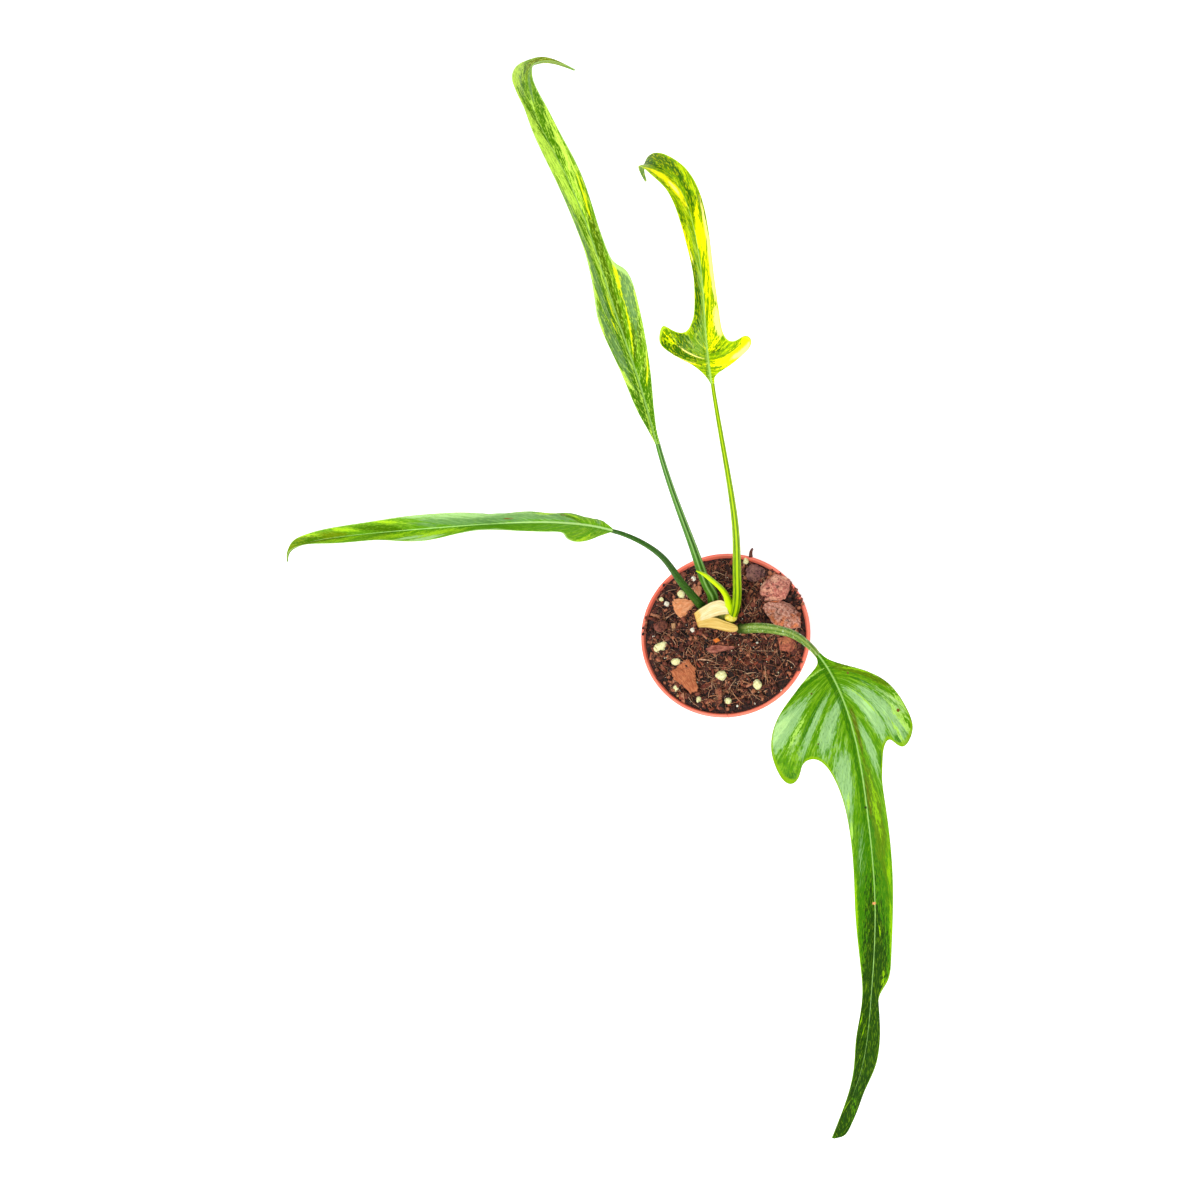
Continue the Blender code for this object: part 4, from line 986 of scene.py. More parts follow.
# How strongly the fine marbling lightens and darkens each leaf, and how short its specks are
MARBLING = {"tall": (0.6, 0.5, 0.5), "young": (0.42, 0.5, 0.36), "left": (0.35, 0.35, 0.4),
            "broad": (0.3, 0.45, 0.2)}
# Pale midrib: half width at the stalk and at the tip, how far left of the middle it lies (mm),
# and how much of its strength is left at the tip
RIBS = {"tall": (0.8, 0.6, 0.5, 0.5), "young": (0.7, 0.3, 0.4, 0.5), "left": (0.8, 0.55, 0.0, 0.9),
        "broad": (0.52, 0.36, 0.0, 0.62)}
print("colours of a leaf:", ", ".join(TINTS))


# %% Leaf finish
def leaf_finish(name):
    """Colours of one leaf, laid over each other by its masks."""
    codes = {key: row[list(LEAVES).index(name)] for key, row in TINTS.items()}
    finish = Finish("leaf_" + name)
    vein = finish.value("vein", "Vector")
    flat = finish.value("flat", "Vector")
    glint, shade, short = MARBLING[name]
    streaks = finish.noise(finish.stretched(vein, (1.0, 0.16, 0)), 1.5, 5.0)
    lines = finish.noise(finish.stretched(vein, (1.0, 0.07, 0)), 0.5, 2.0)
    marks = finish.noise(finish.stretched(vein, (1.0, 0.35, 0)), 0.6, 4.0)
    fine = finish.noise(finish.stretched(vein, (1.0, 0.2, 0)), 0.5, 4.0)
    specks = finish.noise(finish.stretched(flat, (short, 1.4, 0)), 0.8, 5.0)
    colour = finish.cover(codes["ground"], codes["light"], streaks + lines * 0.6 + marks * 0.4, -0.1, 0.12)
    for layer in filter(codes.get, LAYERS):
        spread, low, high = RAGGED.get(layer, RAGGED_ELSE)
        area = finish.value(layer)
        ragged = area + (streaks * 0.8 + marks + lines * 0.4) * spread
        colour = finish.cover(colour, codes[layer], ragged, low, high, finish.step(area, 0.02, 0.25))
    # The silver areas are painted sheen, soft light reflected by the blade.
    silver_sheen = finish.value("silver_sheen")
    lively = 1 - (finish.value("cream") + finish.value("pale") + silver_sheen * 0.5) * 0.6
    colour = finish.cover(colour, codes["fleck"], fine + specks + lines * 0.5, 0.04, 0.16, lively * glint)
    colour = finish.cover(colour, codes["shade"], marks - fine + specks * 0.6, 0.03, 0.15, lively * shade)
    # Painted highlight: light streaks of sheen in the silver areas.
    colour = finish.cover(colour, codes["sheen"], streaks * 0.7 + lines, 0.0, 0.16, silver_sheen * 0.45)
    colour = finish.cover(colour, codes["margin"], finish.value("margin") + marks * 0.6, 0.4, 0.7, 0.8)
    rib = finish.value("rib")
    colour = finish.cover(colour, codes["rib"], rib + lines * 0.4, 0.35, 0.75)
    for along, across, radius, code in SPECKS.get(name, ()):
        sockets = {0: flat, 1: (along, across, 0)}
        apart = finish.add("ShaderNodeVectorMath", {"operation": "DISTANCE"}, sockets, "Value")
        mark = 1 - finish.step(apart + marks * radius, radius * 0.6, radius)
        colour = finish.mix(mark, colour, code)
    under = finish.value("under")
    colour = finish.mix(under * 0.45, colour, UNDERSIDE)
    # The faint glow in the leaf's own colour is painted light, standing for light that shines through the
    # thin blade.
    finish.set(base_color=colour, roughness=0.45 + lines * 0.25 + under * 0.15, specular_ior_level=0.06,
               emission_color=colour, emission_strength=0.1)
    return finish.relief(lines * 0.8 + streaks * 0.4 + rib * 0.3, 0.35).material


# %% The four blades
def make_blade(name):
    """Closed sheet of one blade, which holds its masks and leaf coordinates at every point."""
    leaf = LEAVES[name]
    middle, number, along, across, share = blade_grid(Path(leaf["axis"]), leaf)
    lane, length = vein_places(along, across, share)
    blade = make_mesh("leaf_" + name, *closed_sheet(*blade_faces(middle, number, lane, across, share)))
    masks = colour_masks(name, number, lane, length, along, across, share)
    wide, narrow, aside, lasting = RIBS[name]
    fade = 1 - number / number.max()
    strength = np.minimum(lasting + (1 - lasting) * fade, 8 * fade)
    masks["rib"] = bell(across - aside * fade, narrow + (wide - narrow) * fade) * strength
    for layer, mask in masks.items():
        give(blade, layer, np.tile(mask.ravel(), 2))
    for key, parts in (("vein", (lane, length)), ("flat", (along, across))):
        places = np.stack([*parts, 0 * lane], axis=-1).reshape(-1, 3)
        give(blade, key, np.tile(places, (2, 1)))
    give(blade, "under", np.repeat([0.0, 1.0], lane.size))
    settle(blade, leaf_finish(name), "leaf_" + name, "blade_" + name)


for leaf_name in LEAVES:
    make_blade(leaf_name)

# %% [markdown]
# ## Stalks
#
# Each leaf stands on a fleshy stalk. It is nearly round, with a shallow groove along the side
# that faces the crown, and it goes on under the blade as the root of the midrib. A tube whose
# cross section has a dent does both. The angle round the stalk is kept for its colours: a
# dark groove between two lighter edges, and painted shade on the underside.

# %% Stalks
STALK_SIDES = 28
STALK_RINGS = 130
RUN_UNDER = 14.0          # how far the stalk goes on under its blade
GROOVE_DEPTH = 0.14       # as a share of the radius


def sweep(path, at, upward, radius, section):
    """Rings along a path.

    A ring's point is the centre plus cosine times the sideways axis and sine times the upward
    axis, both times the radius and the section's own share of it at that angle.
    """
    ahead = path.ahead(at)
    up = upright(upward, ahead)
    side = np.cross(up, ahead)
    angle = full_turn(section.shape[-1])[None, :, None]
    around = side[:, None] * np.cos(angle) + up[:, None] * np.sin(angle)
    return path.place(at)[:, None] + around * (radius[:, None] * section)[..., None]


def read_radii(radii, share):
    """Radius at a share of the length, on a smooth curve through evenly spaced values."""
    return spline(np.linspace(0, 1, len(radii)), np.asarray(radii, float)[:, None], share)[:, 0]


def stalk_finish(name, ground, light, groove, sides, flecks):
    """Satin skin: long streaks, a groove line between two side lines, painted shade on the underside, and a
    dark foot of painted shade where it leaves the crown.
    """
    finish = Finish(name, 0.45).set(specular_ior_level=0.15)
    turn = finish.value("turn")
    skin = finish.value("stalk", "Vector")
    streaks = finish.noise(finish.stretched(skin, (0.12, 1.0, 1.0)), 0.7)
    spots = finish.noise(finish.stretched(skin, (0.6, 1.0, 1.0)), 0.8, 4.0)
    colour = finish.cover(ground, light, streaks, -0.12, 0.15)
    beside = 1 - finish.step(abs(abs(turn) - 0.5) + streaks * 0.2, 0.08, 0.22)
    colour = finish.mix(beside, colour, sides)
    colour = finish.mix(1 - finish.step(abs(turn) + streaks * 0.2, 0.14, 0.3), colour, groove)
    colour = finish.cover(colour, "c4d8a8", spots, 0.08, 0.18, flecks)
    # Painted shade: the underside, away from the groove, is darker.
    colour = finish.cover(colour, "24500a", abs(turn), 1.1, 2.2, 0.7)
    # Painted shade at the foot, where the stalk rises among the crown.
    colour = finish.mix(finish.value("foot") * 0.85, colour, "163408")
    return finish.set(base_color=colour).relief(streaks + spots * flecks, 0.2).material


# %% The four stalks
# Slot, ground, light, groove line, its side lines, how many pale flecks, how dark the painted
# shade at the foot is, and how far the groove is turned from the side that the blade faces
# (degrees)
STALK_FINISHES = {
    "tall": ("stalk_dark", "38700c", "4f881c", "2c580c", "84b060", 0.1, 0.3, 28),
    "young": ("stalk_lime", "84a400", "9cbe00", "b0d000", "507c00", 0.0, 0.0, 6),
    "left": ("stalk_dark", "2c5814", "3e6c1c", "2a5414", "305c14", 0.1, 0.5, 0),
    "broad": ("stalk_mottled", "587a20", "90a850", "8ca44c", "587c24", 0.8, 1.0, 12),
}


def make_stalk(name):
    """Grooved tube that sinks below the midrib where it runs on under the blade."""
    leaf = LEAVES[name]
    slot, *tones, foot, groove_turn = STALK_FINISHES[name]
    path = Path(leaf["axis"])
    end = path.knots[leaf["joint"]]
    at = np.linspace(0, end + RUN_UNDER, STALK_RINGS)
    past = np.clip((at - end) / RUN_UNDER, 0, 1)
    radius = read_radii(leaf["stalk"], np.clip(at / end, 0, 1)) * (1 - 0.75 * past ** 0.8)
    angle = full_turn(STALK_SIDES)
    turn = (angle - math.pi / 2 - math.radians(groove_turn) + math.pi) % (2 * math.pi) - math.pi
    turn = np.broadcast_to(turn, (STALK_RINGS, STALK_SIDES))
    depth = GROOVE_DEPTH * np.clip((at - 6) / 20, 0, 1) * np.clip((end - at) / 15, 0.2, 1)
    section = 1 - depth[:, None] * bell(turn, 0.4)
    upward = np.array(leaf["facing"][0][1:])
    sunk = (radius + BLADE_GAP) * ease(np.clip((at - end + 4) / 6, 0, 1))
    points = sweep(path, at, upward, radius, section)
    points -= upright(upward, path.ahead(at))[:, None] * sunk[:, None, None]
    stalk = make_mesh("stalk_" + name, *closed_rings(points))
    give(stalk, "turn", turn.ravel())
    give(stalk, "foot", np.repeat(foot * bell(np.maximum(at - 5, 0), 7), STALK_SIDES))
    length = np.broadcast_to(at[:, None], turn.shape)
    skin = np.stack([length, radius[:, None] * np.cos(angle), radius[:, None] * np.sin(angle)], axis=-1)
    give(stalk, "stalk", skin.reshape(-1, 3))
    settle(stalk, stalk_finish("stalk_skin_" + name, *tones), slot, "petiole_" + name)


for leaf_name in LEAVES:
    make_stalk(leaf_name)

# %% [markdown]
# ## Crown
#
# The stem lies half sunk in the soil and carries all stalks. Old leaves left ring scars on it.
# Beside it the next leaf stands up, still rolled into a spear whose free edge winds round it.
# Both it and the youngest stalk grow from a yellow swelling, a flattened ball. Stem and spear
# could be turned on a lathe, but both bend, so they are rings carried along a path.

# %% Stem and new leaf
STEM_RADIUS = 3.6
STEM_GIRTH = (2.6, 4.6, 4.23, 4.6, 4.23, 4.6, 2.8)     # evenly spaced, against the widest
STEM_ENDS = ((-10.0, 15.8, 67.4), (5.5, 5.0, 67.4))
STEM_ARCH = 0.6           # how far its middle rises
ROOT_RADII = (STEM_RADIUS, STEM_RADIUS, 1.6)
ROOT_FOOT = (-1.0, 9.0, 34.0)
SCARS = (0.16, 0.34, 0.52, 0.7, 0.86)     # shares of the stem's length
SHOOT_AXIS = ((3.9, 9.4, 71), (4.3, 11.7, 80), (4.2, 13.4, 88), (3.3, 14.9, 96), (1.1, 16.4, 103),
              (-1.8, 18.0, 109), (-4.6, 19.3, 114), (-7.5, 19.5, 119))
SHOOT_RADII = (1.7, 2.15, 2.05, 1.6, 1.4, 1.25, 1.05, 0.3)
SWELLING = (4.3, 7.4, 74.4)
SWELLING_SIZE = (3.3, 2.7, 2.4)


def stem_finish():
    """Fleshy green skin with brown ring scars."""
    finish = Finish("stem_skin", 0.5)
    grain = finish.noise(finish.place(), 1.6)
    colour = finish.cover("7c8a2c", "a8b040", grain, -0.15, 0.2)
    colour = finish.cover(colour, "6a4a22", finish.value("scar") + grain, 0.4, 0.7)
    return finish.set(base_color=colour).relief(grain, 0.4).material


def make_stem(rings=120, sides=40):
    """Lying stem: a swept rod of uneven girth, raised 4% at each scar and a little rough."""
    middle = np.mean(STEM_ENDS, axis=0) + (0, 0, STEM_ARCH)
    lying = Path([STEM_ENDS[0], middle, STEM_ENDS[1]])
    share = np.linspace(0, 1, rings)
    radius = read_radii(np.array(STEM_GIRTH) / max(STEM_GIRTH) * STEM_RADIUS, share)
    scar = np.max([bell(share - place, 0.012) for place in SCARS], axis=0)
    section = np.broadcast_to((1 + 0.04 * scar)[:, None], (rings, sides))
    points = sweep(lying, share * lying.total, (0, 0, 1), radius, section)
    points = points + unit(points - points.mean(1, keepdims=True)) * (0.12 * rough(points, 1.5, 5))[..., None]
    stem = make_mesh("stem_skin", *closed_rings(points))
    give(stem, "scar", np.repeat(scar, sides))
    settle(stem, stem_finish(), "stem_green", "stem")


def make_root(rings=40, sides=24):
    """Part of the stem that stands in the soil: a swept rod that narrows to its foot."""
    standing = Path([np.mean(STEM_ENDS, axis=0), ROOT_FOOT])
    share = np.linspace(0, 1, rings)
    radius = read_radii(ROOT_RADII, share)
    points = sweep(standing, share * standing.total, (0, 1, 0), radius, np.ones((rings, sides)))
    root = make_mesh("stem_root", *closed_rings(points))
    settle(root, stem_finish(), "stem_green")


def shoot_finish():
    """Lime skin, lighter on one side, with a dark seam and a yellow foot."""
    finish = Finish("shoot_lime", 0.4).set(specular_ior_level=0.15)
    grain = finish.noise(finish.place((1, 1, 0.15)), 0.8)
    colour = finish.cover("a0c400", "ccec00", finish.value("turn") + grain, -0.2, 0.5)
    colour = finish.mix(finish.value("seam") * 0.6, colour, "7ca400")
    colour = finish.mix(1 - finish.step(finish.value("along"), 0.0, 0.14), colour, "d8dc30")
    return finish.set(base_color=colour).relief(grain, 0.2).material


def make_shoot(rings=100, sides=40):
    """Rolled leaf: the radius grows round the section and drops back at the seam, a low step
    that winds a fifth of the way round the spear from base to tip. A soft keel runs along its upper side."""
    path = Path(SHOOT_AXIS)
    share = np.linspace(0, 1, rings)
    angle = full_turn(sides)
    wound = ((angle[None, :] - 3.6 - 1.2 * share[:, None]) / (2 * math.pi)) % 1
    from_keel = np.abs((angle - 2.0 + math.pi) % (2 * math.pi) - math.pi)
    section = 0.92 + 0.1 * wound + 0.08 * bell(from_keel, 0.5)
    points = sweep(path, share * path.total, (0, -0.6, 0.6), read_radii(SHOOT_RADII, share), section)
    shoot = make_mesh("shoot_roll", *closed_rings(points))
    give(shoot, "seam", bell(np.minimum(wound, 1 - wound), 0.06).ravel())
    give(shoot, "along", np.repeat(share, sides))
    give(shoot, "turn", np.tile(np.cos(angle - 1.0), rings))
    settle(shoot, shoot_finish(), "shoot_lime", "shoot")


def swelling_finish():
    """Yellow skin with orange patches."""
    finish = Finish("crown_node", 0.45).set(specular_ior_level=0.3)
    grain = finish.noise(finish.place(), 1.6)
    colour = finish.cover("d8c818", "f0e478", grain, -0.15, 0.2)
    colour = finish.cover(colour, "e8b820", grain, 0.12, 0.2)
    return finish.set(base_color=colour).relief(grain, 0.3).material


def make_swelling():
    """Node that carries the youngest stalk and the new leaf: a ball, flattened and uneven."""
    ball = ball_grid(32, 48)
    points = ball * SWELLING_SIZE * (1 + 0.08 * rough(ball + 3, 0.8, 7))[..., None]
    node = make_mesh("crown_node", *closed_rings(points + SWELLING))
    settle(node, swelling_finish(), "stem_green")


make_stem()
make_root()
make_shoot()
make_swelling()

# %% [markdown]
# ### Dry sheath
#
# The papery sheath that had wrapped the new leaf has dried and fallen open, like a split pod.
# It is folded like a hairpin: one arm runs behind the new leaf, the fold lies on the left, and
# the other arm comes back in front and ends in a round tip. Cloth simulation could crumple it,
# but it is stiff and its form is plain to see. So each arm is stretched between two edges,
# which are curves through a few points, and bulges a little between them.

# %% Sheath
# Each arm: its back edge, its front edge, how far it bulges between them (mm)
SHEATH_ARMS = (
    (((-14.6, 9.5, 78.6), (-11.5, 11.4, 79.8), (-8.1, 12.9, 81), (-5.1, 14, 82), (-2.5, 14.5, 82.6),
      (0.2, 14.5, 83.2), (2.8, 13.1, 83)),
     ((-13.2, 3.4, 74.6), (-11.2, 4.8, 75.4), (-8.7, 6.1, 76.2), (-5.9, 7, 77), (-3.2, 7.6, 77.6),
      (0.3, 8.1, 78), (3.7, 8.3, 77.6)), 1.1),
    (((-13.5, 4.6, 75.5), (-11.3, 5.9, 76.6), (-8.6, 6.8, 76.8), (-4.6, 7.2, 76.6), (-0.8, 6, 76.2),
      (3.3, 4.3, 75.9), (6.7, 2.7, 75.6), (7.9, 1.4, 75.2)),
     ((-13.2, 3.2, 74), (-10.7, 3, 73.9), (-8, 2.7, 73.8), (-3.8, 1.7, 73.7), (0.3, 0.5, 73.7),
      (4, -0.4, 73.8), (7, -0.3, 74.4), (7.9, 0.6, 75)), 0.9),
)
SHEATH_RISE = unit((0, -0.3, 1))
SHEATH_HALF = 0.13        # half thickness


def sheath_finish():
    """Dry paper with fine streaks, golden parts and amber edges."""
    finish = Finish("sheath_dry", 0.6).set(specular_ior_level=0.2)
    skin = finish.value("sheath", "Vector")
    streaks = finish.noise(finish.stretched(skin, (0.12, 1.6, 0)), 1.0)
    stains = finish.noise(finish.stretched(skin, (0.5, 1.0, 0)), 3.0)
    colour = finish.cover("e0cc8c", "f0e2b8", streaks, -0.15, 0.2)
    golden = finish.cover("d4ac54", "e8cc7c", streaks, -0.15, 0.2)
    colour = finish.cover(colour, golden, finish.value("golden") + stains, 0.3, 0.7)
    colour = finish.cover(colour, "c8923c", finish.value("edge") + streaks, 0.6, 1.0, 0.8)
    return finish.set(base_color=colour).relief(streaks, 0.4).material


def sheath_arm(back, front, bulge, rows=90, columns=36):
    """Upper and under grid of an arm: the straight mix of two splined edges, and a rise between.

    The rise is 4 v (1 - v) times the bulge, where v runs from the back edge to the front one,
    and a low sine wave across makes the pleats.
    """
    share = np.linspace(0, 1, rows)
    edges = [spline(np.linspace(0, 1, len(edge)), edge, share)[:, None] for edge in (back, front)]
    share = share[:, None, None]
    v = np.linspace(0, 1, columns)[None, :, None]
    rise = bulge * 4 * v * (1 - v) * np.clip(share * 4 + 0.2, 0, 1)
    pleats = 0.12 * np.sin(v * 22 + 3 * share)
    middle = (1 - v) * edges[0] + v * edges[1] + (rise + pleats) * SHEATH_RISE
    half = SHEATH_HALF * sheet_normals(middle)
    return middle + half, middle - half


def make_sheath():
    """Both arms as one mesh, with the places of their skin, their edges and their golden parts."""
    parts, skins, edges, golden = [], [], [], []
    for number, (back, front, bulge) in enumerate(SHEATH_ARMS):
        upper, under = sheath_arm(back, front, bulge)
        rows, columns = upper.shape[:2]
        flips = sheet_normals(upper)[..., 2].mean() < 0
        parts.append(closed_sheet(under, upper) if flips else closed_sheet(upper, under))
        along, across = np.meshgrid(np.linspace(0, 1, rows), np.linspace(0, 1, columns), indexing="ij")
        skins.append(np.stack([along * 20, across * 7 + 20 * number, 0 * along], axis=-1).reshape(-1, 3))
        edges.append(np.maximum(np.abs(2 * across - 1) ** 8, bell(along, 0.06)).ravel())
        golden.append((number + (1 - number) * bell(along, 0.22)).ravel())
    sheath = make_mesh("sheath_dry", *joined(parts))
    for key, values in (("sheath", skins), ("edge", edges), ("golden", golden)):
        give(sheath, key, np.concatenate([part for part in values for _ in (0, 1)]))
    settle(sheath, sheath_finish(), "sheath_paper", "sheath")


make_sheath()

# %% [markdown]
# ## Pot
#
# The pot is moulded in terracotta-coloured plastic: a thin tapered wall, a rolled lip that the
# soil fills to the brim, and a foot with a raised ring of drain holes. A turned profile gives
# all of it, because every moulded pot was once turned in steel. Its corners are rounded before
# it is turned, and the drain holes are cut last.

# %% Pot
RIM_RADIUS = 45.0
LIP_TAPER = 1.2
LIP_FLAT = 1.6
POT_HEIGHT = 70.0
BASE_RADIUS = 29.0
WALL = 1.1
LIP_WIDTH = 2.6
LIP_DROP = 5.0
HUB_RADIUS = 12.0
CHANNEL_RADIUS = 24.0
CHANNEL_HEIGHT = 2.5
DRAIN_HOLES = 6
DRAIN_RADIUS = 3.0
SOIL_BRIM = 69.2
POT_SEGMENTS = 192
CORNER_RADIUS = 0.5
SHARP_ANGLE = 50          # degrees between two faces, above which their edge stays sharp
WALL_TOP = POT_HEIGHT - LIP_DROP


def inner_radius(height):
    """Radius of the pot's inner wall at a height, on a straight taper."""
    rise = (height - CHANNEL_HEIGHT) / (WALL_TOP - CHANNEL_HEIGHT)
    foot = BASE_RADIUS - WALL
    return foot + (RIM_RADIUS - LIP_WIDTH - WALL - foot) * rise


def mouth_radius(height):
    """Radius of the lip's sloping inner face at a height."""
    low = inner_radius(WALL_TOP)
    return low + (RIM_RADIUS - LIP_FLAT - low) * (height - WALL_TOP) / LIP_DROP


def rounded(profile, radius, steps=5):
    """Profile whose corners are replaced by quadratic curves that start a radius away."""
    corners = np.asarray(profile, float)
    corner = corners[1:-1]
    starts = []
    for end in (corners[:-2], corners[2:]):
        reach = np.minimum(radius, 0.45 * np.linalg.norm(end - corner, axis=1))
        starts.append((corner + unit(end - corner) * reach[:, None])[:, None])
    curves = bowed(starts[0], corner[:, None], starts[1], np.linspace(0, 1, steps)[None, :, None])
    return np.concatenate([corners[:1], curves.reshape(-1, 2), corners[-1:]])


def turned(profile, segments):
    """Rings of a profile (radius, height) turned about the upright axis."""
    angle = full_turn(segments)
    radius, height = profile[:, :1], profile[:, 1:]
    return np.stack(np.broadcast_arrays(radius * np.cos(angle), radius * np.sin(angle), height), axis=-1)


def pot_finish():
    """Moulded plastic: soft uneven colour, dust, painted shade that darkens the wall below the lip, and fine
    rings from the mould.
    """
    finish = Finish("pot_plastic")
    specks = finish.noise(finish.place(), 0.7, 4.0)
    rings = finish.noise(finish.place((0.03, 0.03, 1)), 1.4)
    soft = finish.noise(finish.place(), 14.0)
    colour = finish.cover("f07058", "fa846c", soft + specks * 0.5, -0.2, 0.2)
    colour = finish.cover(colour, "b4543c", finish.noise(finish.place(), 2.2, 4.0), 0.16, 0.26, 0.35)
    # Painted shade: the wall below the lip is darker than the lip's top.
    height = finish.add("ShaderNodeSeparateXYZ", {}, {0: finish.place()}, "Z")
    colour = finish.mix((1 - finish.step(height, 66.0, 69.0)) * 0.8, colour, "d05840")
    finish.set(base_color=colour, roughness=0.42 + specks * 0.3)
    return finish.relief(specks * 0.4 + rings * 0.3, 0.12).material


def pot_profile():
    """Corners of the turned wall: outwards under the foot, up the outside, in over the lip and down."""
    channel_top = CHANNEL_HEIGHT + WALL
    return (
        (0.01, 0), (HUB_RADIUS, 0), (HUB_RADIUS + 1, CHANNEL_HEIGHT), (CHANNEL_RADIUS, CHANNEL_HEIGHT),
        (CHANNEL_RADIUS + 1, 0), (BASE_RADIUS, 0), (inner_radius(WALL_TOP) + WALL, WALL_TOP),
        (RIM_RADIUS - LIP_TAPER, WALL_TOP), (RIM_RADIUS, POT_HEIGHT - 0.7), (RIM_RADIUS - 0.6, POT_HEIGHT),
        (RIM_RADIUS - LIP_FLAT, POT_HEIGHT), (mouth_radius(SOIL_BRIM), SOIL_BRIM),
        (inner_radius(WALL_TOP), WALL_TOP), (inner_radius(channel_top), channel_top),
        (inner_radius(0) - 0.4, WALL), (CHANNEL_RADIUS + 2, WALL), (CHANNEL_RADIUS + 1, channel_top),
        (HUB_RADIUS, channel_top), (HUB_RADIUS - 1, WALL), (0.01, WALL),
    )


def drain_drills():
    """Collection of upright rods, evenly spaced round the channel, which cut the drain holes."""
    drills = bpy.data.collections.new("drain_drills")
    bpy.context.scene.collection.children.link(drills)
    ring = (HUB_RADIUS + 1 + CHANNEL_RADIUS) / 2
    rod = np.array([(DRAIN_RADIUS, CHANNEL_HEIGHT - 3), (DRAIN_RADIUS, CHANNEL_HEIGHT + WALL + 3)])
    points, faces = closed_rings(turned(rod, 40))
    for turn in full_turn(DRAIN_HOLES) + math.pi / DRAIN_HOLES:
        drill = make_mesh("drill", points + (ring * math.cos(turn), ring * math.sin(turn), 0), faces)
        bpy.context.scene.collection.objects.unlink(drill)
        drills.objects.link(drill)
    return drills


def make_pot():
    """Turned profile with rounded corners, minus the drills of the drain holes."""
    profile = rounded(pot_profile(), CORNER_RADIUS)
    pot = make_mesh("pot_shell", *closed_rings(turned(profile, POT_SEGMENTS)))
    drills = drain_drills()
    cut = pot.modifiers.new("drain", "BOOLEAN")
    cut.operand_type = "COLLECTION"
    cut.collection = drills
    shell = bpy.data.meshes.new_from_object(pot.evaluated_get(bpy.context.evaluated_depsgraph_get()))
    pot.modifiers.clear()
    pot.data = shell
    for drill in list(drills.objects):
        bpy.data.objects.remove(drill, do_unlink=True)
    bpy.data.collections.remove(drills)
    pot.data.set_sharp_from_angle(angle=math.radians(SHARP_ANGLE))
    settle(pot, pot_finish(), "pot_plastic", "pot")


make_pot()

# %% [markdown]
# ## Potting mix
#
# The mix is dark, moist coir and bark with some mineral grains. From a step away it reads as
# crumbs over black, shaded crevices, so it is built that way: a nearly black lumpy ground first,
# its darkness partly painted shade, then layers of loose crumbs, flakes and fibres on top. Each
# loose thing is a tiny shape of a few faces, and thousands of them are placed at once by adding
# arrays.

# %% Ground
SOIL_TOP = 68.8
SOIL_FLOOR = 4.2
SOIL_GAP = 0.4            # between the mix and the pot's wall
SOIL_EDGE = 68.3          # height of the mix where it meets the wall
SOIL_SEGMENTS = 380
SOIL_RINGS = 130


def soil_height(x, y):
    """Height of the mix: slow waves that the solid has too, then lumps of three sizes."""
    clods = 0.55 * np.sin(0.31 * x + 1.0) * np.sin(0.27 * y - 0.6) + 0.35 * np.sin(0.62 * x - 0.41 * y)
    clods = clods + 0.25 * np.sin(0.9 * y + 0.5 * x)
    flat = np.stack([x, y, 0 * x], axis=-1)
    lumps = 0.8 * rough(flat, 3.6, 11) + 0.55 * rough(flat, 1.7, 12) + 0.3 * rough(flat, 0.8, 13)
    return SOIL_TOP - 0.5 + clods + lumps


def soil_finish():
    """Ground with brown grains, nearly black: partly the dark mix, partly painted shade in the crevices
    between crumbs.
    """
    finish = Finish("mix_ground", 0.9)
    grains = finish.noise(finish.place(), 0.9, 5.0)
    colour = finish.cover("140806", "48221a", grains, -0.1, 0.18)
    return finish.set(base_color=colour).relief(grains, 0.8).material


def make_soil():
    """Plug that fills the pot: rings outwards over its floor, up its side and in over its top."""
    edge = mouth_radius(SOIL_BRIM) - SOIL_GAP
    neck = inner_radius(WALL_TOP) - SOIL_GAP
    foot = inner_radius(SOIL_FLOOR) - SOIL_GAP
    profile = [(0.01, SOIL_FLOOR), (foot, SOIL_FLOOR), (neck, WALL_TOP), (edge, SOIL_BRIM - 1.2)]
    angle = full_turn(SOIL_SEGMENTS)
    radii = np.linspace(edge - 0.3, 0.2, SOIL_RINGS)[:, None]
    x, y = radii * np.cos(angle), radii * np.sin(angle)
    fade = np.clip((edge - radii) / 2.0, 0, 1)
    z = soil_height(x, y) * fade + SOIL_EDGE * (1 - fade)
    points = np.concatenate([turned(np.array(profile), SOIL_SEGMENTS), np.stack([x, y, z], axis=-1)])
    soil = make_mesh("mix_ground", *closed_rings(points))
    settle(soil, soil_finish(), "potting_mix", "soil")


make_soil()

# %% [markdown]
# ### Loose crumbs, flakes and fibres
#
# A crumb is a dented ball of twenty faces, a flake is a bent slab, and a fibre is a thin bowed
# thread. Every one gets its own size, turn and tone from a seeded random draw. The tone is kept
# as a number on the mesh, so that one material can make each crumb a little different.

# %% Shapes for scattering
# Large stones that loose things keep clear of: centre x and y, radius
STONE_SPOTS = ((28.5, 22.4, 7.2), (31.2, 7.0, 8.0), (32.6, -7.4, 4.2), (17.4, 32.8, 4.4), (-34.0, 5.9, 3.2))


def ball_template():
    """Twelve corners of a regular solid with twenty faces: those three that lie nearest each
    other make a face, turned so that it looks outwards."""
    gold = (1 + math.sqrt(5)) / 2
    longest = 2.01
    base = np.array([(0, a, b * gold) for a, b in product((-1, 1), repeat=2)], float)
    corners = np.concatenate([np.roll(base, shift, axis=1) for shift in range(3)])
    faces = []
    for trio in combinations(range(12), 3):
        a, b, c = corners[list(trio)]
        if max(np.linalg.norm(a - b), np.linalg.norm(b - c), np.linalg.norm(a - c)) < longest:
            outwards = np.dot(np.cross(b - a, c - a), a) > 0
            faces.append(trio if outwards else trio[::-1])
    return corners / np.linalg.norm(corners[0]), np.array(faces)


